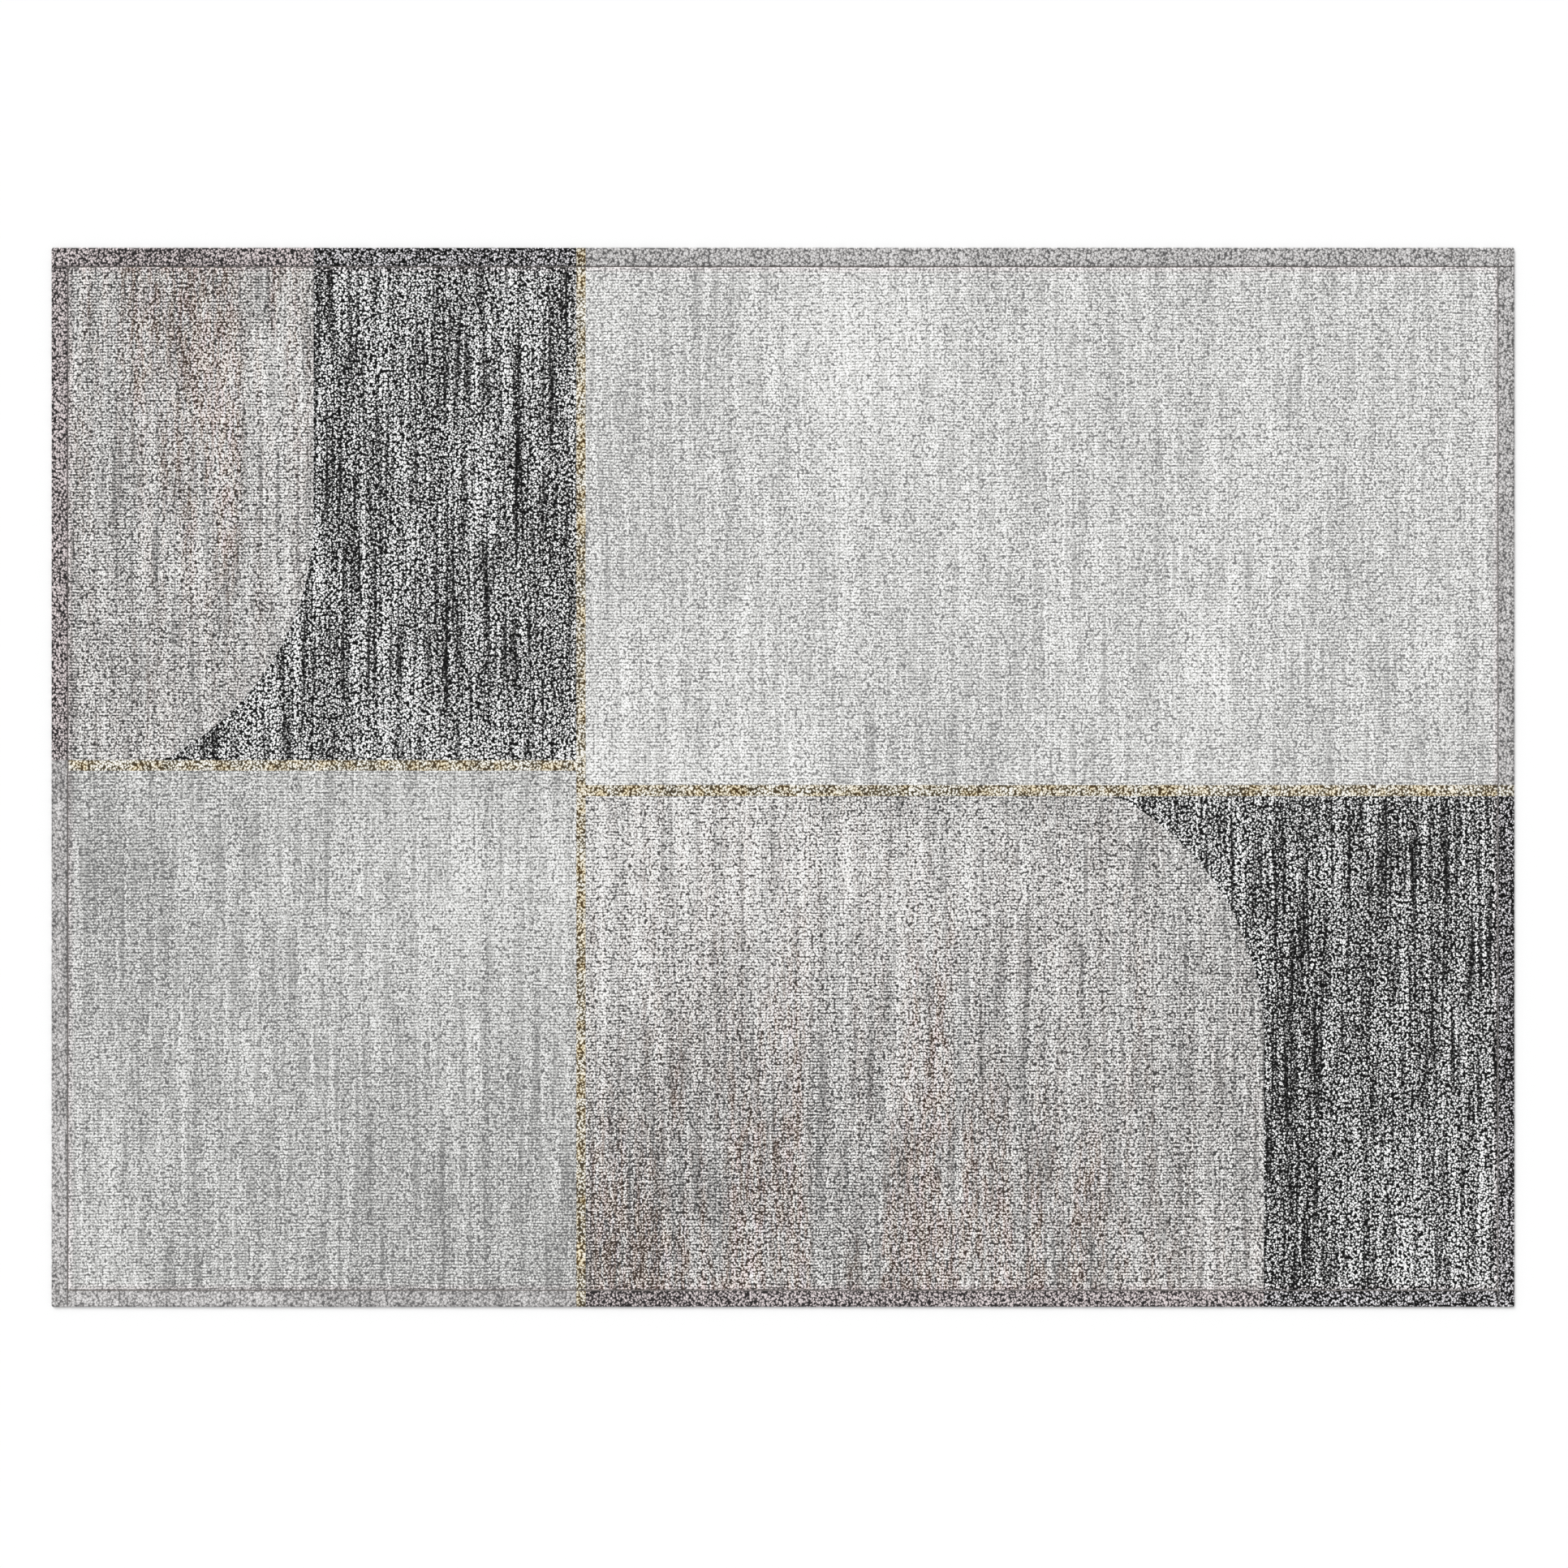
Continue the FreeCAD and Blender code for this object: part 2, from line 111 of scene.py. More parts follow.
# Hems
HEM_STEP = 0.0012
HEM_STATION_STEP = 0.005
HEM_END_STEPS = (0.0003, 0.0009, 0.0018, 0.0030, 0.0045)
HEM_WEAVE_RISE = 0.0004
HEM_RIB_SHARE = 0.6  # the rest of the hem's relief is nubs
HEM_LOOP_VARIETY = 0.25
HEM_EDGE_SHADE = 0.12  # painted shade: how much darker a hem is at its fold and beside its seam
HEM_FOLD_SHADE_WIDTH = 0.006
SEAM_ROUNDING = 0.0016  # the hem's inner edge rolls down over this width
SEAM_EDGE_FOOT = 0.25  # the part of that edge's height below the rounding
SEAM_HALF_CHANNEL = 0.0008  # half of the gap that a seam pulls open beside a hem
PUCKER_RISE = 0.00025
PUCKER_WIDTH = 0.003
END_SQUEEZE = 0.2  # how much of its thickness a rounded end of a hem keeps
ROUNDING_POINTS = 5
FOLD_POINTS = 11
GROOVE_POINTS = 5
BAND_START = 0.6  # the share of a hem's height at which its relief starts
LEG_START = 0.004  # where the leg lies flat, in from the fold
LEG_PLACES = (0.012, 0.018, 0.029)  # more points across the leg, in from the rug's edge
LEG_EDGE_ROUNDING = 0.0002
LEG_EDGE_HEIGHTS = (0.0003, 0.0008)

# Seams
STITCH_GROOVE_WIDTH = 0.0016  # half of the groove that the lower thread pulls into the hem
STITCH_GROOVE_DEPTH = 0.0006
STITCH_PITCH = 0.0040
STITCH_LENGTH = 0.0036
STITCH_SIDES = 6
STITCH_RINGS = 7
STITCH_END_SHARE = 0.55  # a stitch's thickness where it enters the cloth
STITCH_ROUNDNESS = 0.6  # how soon a stitch reaches its full height; less is sooner

# Underside
FELT_STEP = 0.014
FELT_HAIR = 0.00012
FELT_WAVE = (0.013, 0.011)
POCKET_MARGIN = 0.0006  # the slope round the label's pocket
POCKET_SLACK = 0.0003
POCKET_GAP = 0.0001
DOT_PITCH = 0.024
DOT_WIDTH = 0.006
DOT_SIDES = 8
DOT_HEIGHT = 0.0004
DOT_ROOT = 0.0002  # how far a dot goes into the felt
DOT_TAPER = 0.85
LABEL_STEP = 0.001
LABEL_FOLD = 0.006
LABEL_FOLD_RISE = 0.00012  # how much lower the label's folded ends hang
LABEL_FLOOR_GAP = 0.00004
LABEL_WAVE = (0.020, 0.015)
LABEL_WAVE_RISE = 0.00004

# The UV map of a slab
HIDDEN_STRIP = 0.06  # the share of the map that goes to a slab's walls and back
BACK_STRIP = 0.4  # the back's part of that strip
WALL_STRIP = (0.5, 0.8)  # where the walls' part of it starts and ends

# Noise in the materials: size along X, size along Y, detail, strength
FUZZ = Layer(0.0022, 0.0022, 1.0, 0.25)
DASHES = Layer(0.0075, 0.0026, 1.0, 0.30)
STRANDS = Layer(STRAND_LENGTH, STRAND_WIDTH, 1.0, 0.70)
FINE_STREAK = Layer(0.0052, 0.15, 2.0, 1.0)
BROAD_STREAK = Layer(0.016, 0.40, 2.0, 0.60)
WARP_LINE = Layer(0.014, 2.5, 2.0, 0.40)
CLOUD = Layer(0.040, 0.15, 3.0, 0.30)
CROSSING = Layer(0.075, 0.008, 1.0, 0.18)
BROWN_SPOTS = Layer(0.005, 0.030, 3.0, 6.0)
LILAC_SPOTS = Layer(0.010, 0.050, 2.0, 4.0)
GOLD_FUZZ = Layer(0.0024, 0.0024, 1.0, 0.5)
GOLD_PATCHES = Layer(0.022, 0.022, 2.0, 1.3)
GOLD_STRANDS = Layer(STRAND_LENGTH, STRAND_WIDTH, 1.0, 0.8)
GOLD_STRETCHES = Layer(0.024, 0.024, 2.0, 3.6)
HEM_FUZZ = Layer(0.0020, 0.0020, 1.0, 0.3)
HEM_STRANDS = Layer(STRAND_WIDTH, STRAND_LENGTH, 1.0, 0.9)
HEM_STREAK = Layer(0.006, 0.09, 2.0, 0.7)
HEM_CLOUD = Layer(0.03, 0.03, 2.0, 0.5)
THREAD_TWIST = Layer(0.0005, 0.0005, 1.0, 2.0)
THREAD_FADE = Layer(0.05, 0.05, 2.0, 0.8)
FELT_HAIRS = Layer(0.0009, 0.0009, 3.0, 1.6)
FELT_CLOUD = Layer(0.03, 0.03, 2.0, 0.7)
RUBBER_DUST = Layer(0.004, 0.004, 3.0, 1.2)
RUBBER_PORES = Layer(0.0006, 0.0006, 1.0, 0.9)
FLOOR_CLOUD = Layer(0.8, 0.8, 1.0, 0.02)
NOISE_SHIFT = (17.3, 9.1, 4.7)  # moves each seed's noise to a place of its own
FLECK_SHIFT = (5.3, 3.9, 2.1)

# Surfaces
FIBRE_BUMP = 0.6
SPECULAR = 0.12
SHEEN_ROUGHNESS = 0.5
WEAVE_CONTRAST = 0.35
GOLD_LEVEL = 0.40
# strength of the painted light and shade on the gold loops
GOLD_CONTRAST = 2.6
GOLD_LOOP_VARIETY = 0.3
OCHRE_SHARE = 0.30
BROWN_SHARE = 0.9
LILAC_SHARE = 0.4

# Studio
FLOOR_SIZE = 300
FLOOR_GAP = 0.0002
SKY_STRENGTH = 0.67
SUN_STRENGTH = 2.10
SUN_SPREAD = 35  # degrees
SUN_TILT = (-38, -32)  # degrees, about X and Y
FRAME_WIDTH = 2.3706  # the floor's width that the picture takes in
CAMERA_PLACE = (0.0016, -0.0101)  # over almost the middle of the rug
CAMERA_LENS = 70  # millimetres
SENSOR_WIDTH = 36
CAMERA_REACH = 400


# -------- random shapes


def eased(share):
    """A share from 0 to 1, with a gentle start and end."""
    return share * share * (3 - 2 * share)


def soft_noise(x, y, size_x, size_y, seed):
    """Smooth random values from -1 to 1 in bumps of size_x by size_y."""
    table = np.random.default_rng(seed).uniform(-1, 1, (NOISE_CELLS, NOISE_CELLS))
    column, across = np.divmod(x / size_x, 1)
    row, up = np.divmod(y / size_y, 1)
    left = column.astype(int) % NOISE_CELLS
    low = row.astype(int) % NOISE_CELLS
    right = (left + 1) % NOISE_CELLS
    high = (low + 1) % NOISE_CELLS
    across = eased(across)
    up = eased(up)
    lower = table[low, left] * (1 - across) + table[low, right] * across
    upper = table[high, left] * (1 - across) + table[high, right] * across
    return lower * (1 - up) + upper * up


def ribbed(x, y):
    """The ribbed weave's height, from 0 in a gap to 1 on a crest."""
    drift = RIB_DRIFT * soft_noise(x, y, DRIFT_LENGTH, DRIFT_WIDTH, seed=1)
    crest = 0.5 + 0.5 * np.cos(FULL_TURN * (y + drift) / RIB_PITCH)
    slub = soft_noise(x, y, SLUB_LENGTH, RIB_PITCH, seed=2)
    return np.clip(crest + SLUB_SHARE * slub * (SLUB_IN_GAP + (1 - SLUB_IN_GAP) * crest), 0, 1)


def nubbed(x, y):
    """The nubby weave's height, from 0 between loops to 1 on a loop."""
    loops = soft_noise(x, y, NUB_SIZE, NUB_SIZE, seed=3)
    clumps = soft_noise(x, y, CLUMP_LENGTH, CLUMP_WIDTH, seed=4)
    return np.clip(0.5 + NUB_CONTRAST * loops + CLUMP_CONTRAST * clumps, 0, 1)


class Weave(NamedTuple):
    """A weave: its height from 0 to 1, how far that rises, and the steps of its mesh."""

    height: Callable
    rise: float
    row_step: float
    column_step: float


RIBBED = Weave(ribbed, RIB_RISE, ROW_STEP, RIBBED_STEP)
NUBBY = Weave(nubbed, NUB_RISE, NUBBED_STEP, NUBBED_STEP)
STRIPE = Weave(nubbed, NUB_RISE, STRIPE_STEP, STRIPE_STEP)


# -------- meshes


def grid_quads(rows, columns, ring=False):
    """Quads over a rows by columns grid of points; ring joins the last column to the first."""
    index = np.arange(rows * columns).reshape(rows, columns)
    if ring:
        index = np.column_stack([index, index[:, 0]])
    corners = [index[:-1, :-1], index[:-1, 1:], index[1:, 1:], index[1:, :-1]]
    return np.stack(corners, axis=-1).reshape(-1, 4)


def build_mesh(name, points, quads, caps):
    """An object from points, an array of quads and a few many-sided caps."""
    corners = np.concatenate([quads.ravel(), *caps])
    counts = np.concatenate([np.full(len(quads), 4), [len(cap) for cap in caps]]).astype(int)
    mesh = bpy.data.meshes.new(name)
    mesh.vertices.add(len(points))
    mesh.vertices.foreach_set("co", points.astype(np.float32).ravel())
    mesh.loops.add(len(corners))
    mesh.loops.foreach_set("vertex_index", corners.astype(np.int32))
    mesh.polygons.add(len(counts))
    mesh.polygons.foreach_set("loop_start", (np.cumsum(counts) - counts).astype(np.int32))
    mesh.update(calc_edges=True)
    mesh.shade_smooth()
    made = bpy.data.objects.new(name, mesh)
    bpy.context.collection.objects.link(made)
    return made


def build_tubes(name, points, count, rings, sides, flip):
    """An object of closed tubes, each of that many rings; flip turns its faces round."""
    per_tube = rings * sides
    firsts = per_tube * np.arange(count)
    tube = grid_quads(rings, sides, ring=True)
    quads = (tube[None, :, :] + firsts[:, None, None]).reshape(-1, 4)
    ring = np.arange(sides)
    caps = []
    for first in firsts:
        caps.append((first + ring)[::-1])
        caps.append(first + per_tube - sides + ring)
    if flip:
        quads = quads[:, ::-1]
        caps = [cap[::-1] for cap in caps]
    return build_mesh(name, points.reshape(-1, 3), quads, caps)


def add_attribute(made, name, values):
    """Stores one number per point, for the material to read."""
    attribute = made.data.attributes.new(name, "FLOAT", "POINT")
    attribute.data.foreach_set("value", values.astype(np.float32).ravel())


def slab(name, x, y, detail, flat, up=True):
    """A closed slab: a detailed face over the grid x, y at height detail, and a flat one behind."""
    rows, columns = x.shape
    face = np.stack([x, y, detail], axis=-1).reshape(-1, 3)
    index = np.arange(rows * columns).reshape(rows, columns)
    rim = np.concatenate([index[0, :-1], index[:-1, -1], index[-1, :0:-1], index[:0:-1, 0]])
    back = face[rim].copy()
    back[:, 2] = flat
    low = len(face) + np.arange(len(rim))
    walls = np.stack([low, np.roll(low, -1), np.roll(rim, -1), rim], axis=-1)
    quads = np.concatenate([grid_quads(rows, columns), walls])
    cap = low[::-1]
    if not up:
        quads = quads[:, ::-1]
        cap = low
    made = build_mesh(name, np.concatenate([face, back]), quads, [cap])
    face_count = len(quads) - len(walls)
    mark_sharp_rim(made, face_count)
    map_slab(made, face_count, len(walls))
    return made


def map_slab(made, face_count, wall_count):
    """Spreads the detailed face over most of the UV map, and the hidden ones over a strip of it."""
    mesh = made.data
    vertex = np.zeros(len(mesh.loops), int)
    mesh.loops.foreach_get("vertex_index", vertex)
    flat_places = np.zeros(3 * len(mesh.vertices))
    mesh.vertices.foreach_get("co", flat_places)
    places = flat_places.reshape(-1, 3)[:, :2]
    share = (places - places.min(axis=0)) / np.ptp(places, axis=0)
    layout = share[vertex]
    on_face = slice(0, 4 * face_count)
    on_wall = slice(4 * face_count, 4 * (face_count + wall_count))
    on_back = slice(4 * (face_count + wall_count), None)
    layout[on_face, 1] = HIDDEN_STRIP + (1 - HIDDEN_STRIP) * layout[on_face, 1]
    layout[on_back, 1] = BACK_STRIP * HIDDEN_STRIP * layout[on_back, 1]
    along = (np.arange(wall_count)[:, None] + np.array([0, 1, 1, 0])) / wall_count
    foot, head = WALL_STRIP
    layout[on_wall, 0] = along.ravel()
    layout[on_wall, 1] = HIDDEN_STRIP * np.tile([foot, foot, head, head], wall_count)
    uv_map = made.data.uv_layers.new(name="OFBake")
    uv_map.uv.foreach_set("vector", layout.astype(np.float32).ravel())


def mark_sharp_rim(made, face_count):
    """Keeps the shading of the detailed face apart from that of the walls and the flat face."""
    mesh = made.data
    loop_edges = np.zeros(len(mesh.loops), int)
    mesh.loops.foreach_get("edge_index", loop_edges)
    uses = np.zeros(len(mesh.edges), int)
    np.add.at(uses, loop_edges[: 4 * face_count], 1)
    sharp = mesh.attributes.new("sharp_edge", "BOOLEAN", "EDGE")
    sharp.data.foreach_set("value", uses < 2)


def steps(start, end, step, extra=()):
    """Places from start to end about a step apart, with the extra ones that lie between."""
    count = max(1, round(abs(end - start) / step))
    places = np.linspace(start, end, count + 1)
    inside = [place for place in extra if start < place < end]
    return np.unique(np.concatenate([places, inside]))


# -------- material nodes


def grey(value):
    """A colour without a tint."""
    return (value, value, value)


def scaled(colour, factor):
    """A colour made that many times as bright."""
    return tuple(part * factor for part in colour)


class Shader:
    """One material's node tree, with short calls for the nodes it is made of."""

    def __init__(self, name):
        self.material = bpy.data.materials.new(name)
        self.material.use_nodes = True
        self.tree = self.material.node_tree
        self.surface = self.tree.nodes["Principled BSDF"]
        self.place = self.node("ShaderNodeTexCoord").outputs["Object"]

    def node(self, kind, **settings):
        made = self.tree.nodes.new(kind)
        for key, value in settings.items():
            setattr(made, key, value)
        return made

    def give(self, socket, value):
        if isinstance(value, bpy.types.NodeSocket):
            self.tree.links.new(value, socket)
        else:
            socket.default_value = value

    def math(self, operation, *values):
        made = self.node("ShaderNodeMath", operation=operation)
        for socket, value in zip(made.inputs, values):
            self.give(socket, value)
        return made.outputs[0]

    def times(self, first, second):
        return self.math("MULTIPLY", first, second)

    def clamped(self, value):
        return self.math("MINIMUM", self.math("MAXIMUM", value, 0.0), 1.0)

    def total(self, *values):
        result = values[0]
        for value in values[1:]:
            result = self.math("ADD", result, value)
        return result

    def attribute(self, name):
        return self.node("ShaderNodeAttribute", attribute_name=name).outputs["Fac"]

    def stretched(self, size_x, size_y, size_z, shift, seed):
        """The place in units of those sizes, moved on by the shift times the seed."""
        made = self.node("ShaderNodeMapping")
        self.give(made.inputs["Vector"], self.place)
        self.give(made.inputs["Scale"], (1 / size_x, 1 / size_y, 1 / size_z))
        self.give(made.inputs["Location"], [part * seed for part in shift])
        return made.outputs[0]

    def noise_texture(self, place, scale, detail):
        made = self.node("ShaderNodeTexNoise")
        self.give(made.inputs["Vector"], place)
        self.give(made.inputs["Scale"], scale)
        self.give(made.inputs["Detail"], detail)
        return made

    def noise(self, layer, seed, gain=1.0):
        """Random values round 0, as the layer says, made gain times stronger."""
        size_z = min(layer.size_x, layer.size_y)
        place = self.stretched(layer.size_x, layer.size_y, size_z, NOISE_SHIFT, seed)
        texture = self.noise_texture(place, 1.0, layer.detail)
        centred = self.math("SUBTRACT", texture.outputs[0], 0.5)
        return self.times(centred, layer.strength * gain)

    def loops(self, size, contrast, variety, seed):
        """Bent loops of yarn: painted light at their middles and painted shade at their edges by the
        contrast, and each one a different tone.
        """
        size_x, size_y = size
        place = self.stretched(size_x, size_y, size_y, FLECK_SHIFT, seed)
        drift = self.noise_texture(place, LOOP_BEND_SCALE, 1.0)
        bent = self.node("ShaderNodeVectorMath", operation="MULTIPLY_ADD")
        self.give(bent.inputs[0], drift.outputs["Color"])
        self.give(bent.inputs[1], (LOOP_BEND, LOOP_BEND, LOOP_BEND))
        self.give(bent.inputs[2], place)
        made = self.node("ShaderNodeTexVoronoi", voronoi_dimensions="2D")
        self.give(made.inputs["Scale"], 1.0)
        self.give(made.inputs["Vector"], bent.outputs[0])
        shade = self.node("ShaderNodeSeparateColor")
        self.give(shade.inputs[0], made.outputs["Color"])
        value = self.math("SUBTRACT", shade.outputs[0], 0.5)
        # painted light at each loop's middle and painted shade towards its edges
        middle = self.math("SUBTRACT", LOOP_MEAN_REACH, made.outputs["Distance"])
        return self.total(self.times(middle, contrast), self.times(value, variety))

    def ramp(self, factor, stops):
        """A colour for each factor, from (place, colour) stops."""
        made = self.node("ShaderNodeValToRGB")
        self.give(made.inputs[0], factor)
        elements = made.color_ramp.elements
        while len(elements) < len(stops):
            elements.new(0.5)
        for element, (place, colour) in zip(elements, stops):
            element.position = place
            element.color = (*colour, 1)
        return made.outputs[0]

    def three_tones(self, tone, tones):
        """A colour for each tone from 0 to 1, from a dark, a middle and a light one."""
        dark, body, light = tones
        return self.ramp(tone, [(0.0, dark), (0.5, body), (1.0, light)])

    def mottled(self, tint, layers, seed, shades):
        """A tint made darker and lighter by two kinds of noise, from (tone, factor) shades."""
        first, second = layers
        tone = self.total(0.5, self.noise(first, seed), self.noise(second, seed + 1))
        return self.ramp(tone, [(place, scaled(tint, factor)) for place, factor in shades])

    def mix(self, factor, first, second, blend="MIX"):
        made = self.node("ShaderNodeMix", data_type="RGBA", blend_type=blend)
        self.give(made.inputs[0], factor)
        self.give(made.inputs[6], first)
        self.give(made.inputs[7], second)
        return made.outputs[2]

    def tinted(self, colour, tint):
        return self.mix(1.0, colour, (*tint, 1), blend="MULTIPLY")

    def patch_and_edge_shade(self, fleck):
        """Broad lighter and darker patches, and on a hem its painted shade at the fold and seam;
        stronger in a lively yarn.
        """
        return self.times(self.attribute("shade"), 0.5 + 0.5 * fleck)

    def bloom_share(self, least, spots, seed):
        """How much of a bloom's colour shows, in spots, from 0 to 1."""
        amount = self.total(least, self.noise(spots, seed))
        return self.clamped(self.times(self.attribute("bloom"), amount))

    def fibres(self, size, height, seed):
        """Fine surface roughness: fibres of that size and height."""
        bump = self.node("ShaderNodeBump")
        self.give(bump.inputs["Strength"], FIBRE_BUMP)
        self.give(bump.inputs["Distance"], height)
        self.give(bump.inputs["Height"], self.noise(Layer(size, size, 2.0, 1.0), seed))
        self.give(self.surface.inputs["Normal"], bump.outputs[0])

    def finish(self, colour, roughness=0.95, sheen=0.15):
        self.give(self.surface.inputs["Base Color"], colour)
        self.give(self.surface.inputs["Roughness"], roughness)
        self.give(self.surface.inputs["Specular IOR Level"], SPECULAR)
        self.give(self.surface.inputs["Sheen Weight"], sheen)
        self.give(self.surface.inputs["Sheen Roughness"], SHEEN_ROUGHNESS)
        return self.material


# -------- materials

# Each yarn's dark, middle and light tones
PALE = (grey(0.19), (0.59, 0.588, 0.575), (0.95, 0.95, 0.94))
GREY = (grey(0.14), (0.46, 0.46, 0.449), (0.86, 0.86, 0.85))
TAUPE = (grey(0.05), (0.44, 0.432, 0.423), (0.92, 0.915, 0.90))
CHARCOAL = (grey(0.002), grey(0.125), grey(0.90))
BROWN = ((0.040, 0.027, 0.020), (0.32, 0.262, 0.225), (0.87, 0.825, 0.785))
LIP_TINT = (1.0, 0.955, 0.965)
MAUVE_TINT = (0.98, 0.925, 0.975)

# The gold yarn's colours from dark to light, as (tone, colour) stops
STRAW = (
    (0.0, (0.060, 0.048, 0.030)),
    (0.38, (0.29, 0.25, 0.165)),
    (0.62, (0.57, 0.54, 0.445)),
    (0.95, (0.90, 0.89, 0.86)),
)
OCHRE = (
    (0.0, (0.060, 0.035, 0.012)),
    (0.45, (0.34, 0.25, 0.110)),
    (0.95, (0.84, 0.76, 0.57)),
)


def yarn_tone(shader, fleck, streak, seed, level, fleck_size, painted_gap_shade):
    """How light the yarn is at each place: its loops with their painted shade, strands, streaks, and
    painted shade in the relief's gaps with painted light on its crests.
    """
    grain = shader.total(
        shader.loops(fleck_size, fleck, LOOP_VARIETY * fleck, seed),
        shader.noise(FUZZ, seed + 1, fleck),
        shader.noise(DASHES, seed + 2, fleck),
    )
    fine_streak = shader.noise(FINE_STREAK, seed + 3)
    liveliness = shader.total(
        BASE_LIVELINESS,
        shader.times(fine_streak, STREAK_LIVELINESS),
        shader.times(shader.attribute("bloom"), BLOOM_LIVELINESS),
    )
    # the pile height turned into painted shade in the rib gaps and painted light on the crests
    pile = shader.math("SUBTRACT", shader.attribute("pile"), MEAN_PILE)
    return shader.total(
        level,
        shader.times(grain, liveliness),
        shader.noise(STRANDS, seed + 9, fleck),
        shader.times(fine_streak, streak),
        shader.noise(BROAD_STREAK, seed + 4, streak),
        shader.noise(WARP_LINE, seed + 10, streak),
        shader.noise(CLOUD, seed + 5, streak),
        shader.noise(CROSSING, seed + 6, streak),
        shader.times(pile, painted_gap_shade),
        shader.patch_and_edge_shade(fleck),
    )


def yarn_material(
    name, tones, fleck, streak, seed, level=0.5, fleck_size=FLECK_SIZE, painted_gap_shade=0.5, brown=None
):
    """A field's yarn: dark, middle and light loops, in fine streaks along Y.

    fleck is how strong the painted shade at the loops' edges is and how far the loops differ, streak
    how far the streaks do, level the share of light yarn, and painted_gap_shade how much painted shade
    darkens a gap next to a crest.
    """
    shader = Shader(name)
    tone = yarn_tone(shader, fleck, streak, seed, level, fleck_size, painted_gap_shade)
    colour = shader.three_tones(tone, tones)
    if brown:
        warm = shader.three_tones(tone, brown)
        colour = shader.mix(shader.bloom_share(BROWN_SHARE, BROWN_SPOTS, seed + 7), colour, warm)
        mauve = shader.tinted(colour, MAUVE_TINT)
        colour = shader.mix(shader.bloom_share(LILAC_SHARE, LILAC_SPOTS, seed + 11), colour, mauve)
    colour = shader.mix(shader.attribute("lip"), colour, shader.tinted(colour, LIP_TINT))
    shader.fibres(0.0007, 0.0002, seed + 8)
    return shader.finish(colour)


def gold_material(name, seed, strength=1.0):
    """Straw yarn with stretches of ochre, in small knots; a strength below 1 darkens it all as painted
    shade.
    """
    shader = Shader(name)
    tone = shader.total(
        GOLD_LEVEL,
        shader.loops(NUBBY_FLECK_SIZE, GOLD_CONTRAST, GOLD_LOOP_VARIETY, seed),
        shader.noise(GOLD_FUZZ, seed + 1),
        shader.noise(GOLD_PATCHES, seed + 2),
        shader.noise(GOLD_STRANDS, seed + 5),
    )
    pale = shader.ramp(tone, [(place, scaled(colour, strength)) for place, colour in STRAW])
    rich = shader.ramp(tone, [(place, scaled(colour, strength)) for place, colour in OCHRE])
    ochre_share = shader.total(OCHRE_SHARE, shader.noise(GOLD_STRETCHES, seed + 4))
    colour = shader.mix(shader.clamped(ochre_share), pale, rich)
    shader.fibres(0.0007, 0.0002, seed + 3)
    return shader.finish(colour)


def hem_material(name, tones, fleck, seed, level=0.5):
    """The turned edge: the same yarns, finer, in copies darkened and tinted as painted shade."""
    shader = Shader(name)
    grain = shader.total(
        shader.loops(NUBBY_FLECK_SIZE, fleck, HEM_LOOP_VARIETY * fleck, seed),
        shader.noise(HEM_FUZZ, seed + 1, fleck),
        shader.noise(HEM_STRANDS, seed + 5, fleck),
    )
    streak = shader.noise(HEM_STREAK, seed + 2)
    cloud = shader.noise(HEM_CLOUD, seed + 3)
    tone = shader.total(level, grain, streak, cloud, shader.patch_and_edge_shade(fleck))
    colour = shader.three_tones(tone, tones)
    shader.fibres(0.0006, 0.0002, seed + 4)
    return shader.finish(colour)


def thread_material(name, tint, seed):
    """Twisted polyester thread."""
    shader = Shader(name)
    colour = shader.mottled(tint, (THREAD_TWIST, THREAD_FADE), seed, ((0.0, 0.55), (1.0, 1.4)))
    shader.fibres(0.0003, 0.0001, seed + 2)
    return shader.finish(colour, roughness=0.65, sheen=0.3)


def felt_material(name, tint, seed):
    """Needled felt: short fibres lying every way."""
    shader = Shader(name)
    colour = shader.mottled(tint, (FELT_HAIRS, FELT_CLOUD), seed, ((0.1, 0.6), (0.9, 1.35)))
    shader.fibres(0.0008, 0.0003, seed + 2)
    return shader.finish(colour, sheen=0.4)


def rubber_material(name, tint, seed):
    """Soft matt rubber with a little dust on it."""
    shader = Shader(name)
    colour = shader.mottled(tint, (RUBBER_DUST, RUBBER_PORES), seed, ((0.1, 0.8), (0.9, 1.2)))
    shader.fibres(0.0006, 0.00008, seed + 2)
    return shader.finish(colour, roughness=0.7, sheen=0.0)


def plain_weave_material(name, tint, thread, seed):
    """A plain weave of threads of that width, with painted light where a thread comes over and painted
    shade where it goes under.
    """
    shader = Shader(name)
    parts = shader.node("ShaderNodeSeparateXYZ")
    shader.give(parts.inputs[0], shader.place)
    turn = FULL_TURN / (2 * thread)
    along = shader.math("SINE", shader.times(parts.outputs[0], turn))
    across = shader.math("SINE", shader.times(parts.outputs[1], turn))
    # painted light and shade of the crossing threads
    weave = shader.times(shader.times(along, across), WEAVE_CONTRAST)
    fuzz = shader.noise(Layer(2 * thread, 2 * thread, 2.0, 0.9), seed)
    tone = shader.total(0.5, weave, fuzz)
    colour = shader.ramp(tone, [(0.0, scaled(tint, 0.6)), (1.0, scaled(tint, 1.25))])
    shader.fibres(thread, 0.0001, seed + 1)
    return shader.finish(colour)


def hem_shaded_tones(tones, shade_factors, tint):
    """A field's three tones for the hem: each darker by its factor and tinted, as painted shade."""
    shaded = [scaled(tone, factor) for tone, factor in zip(tones, shade_factors)]
    return tuple(tuple(part * hue for part, hue in zip(tone, tint)) for tone in shaded)


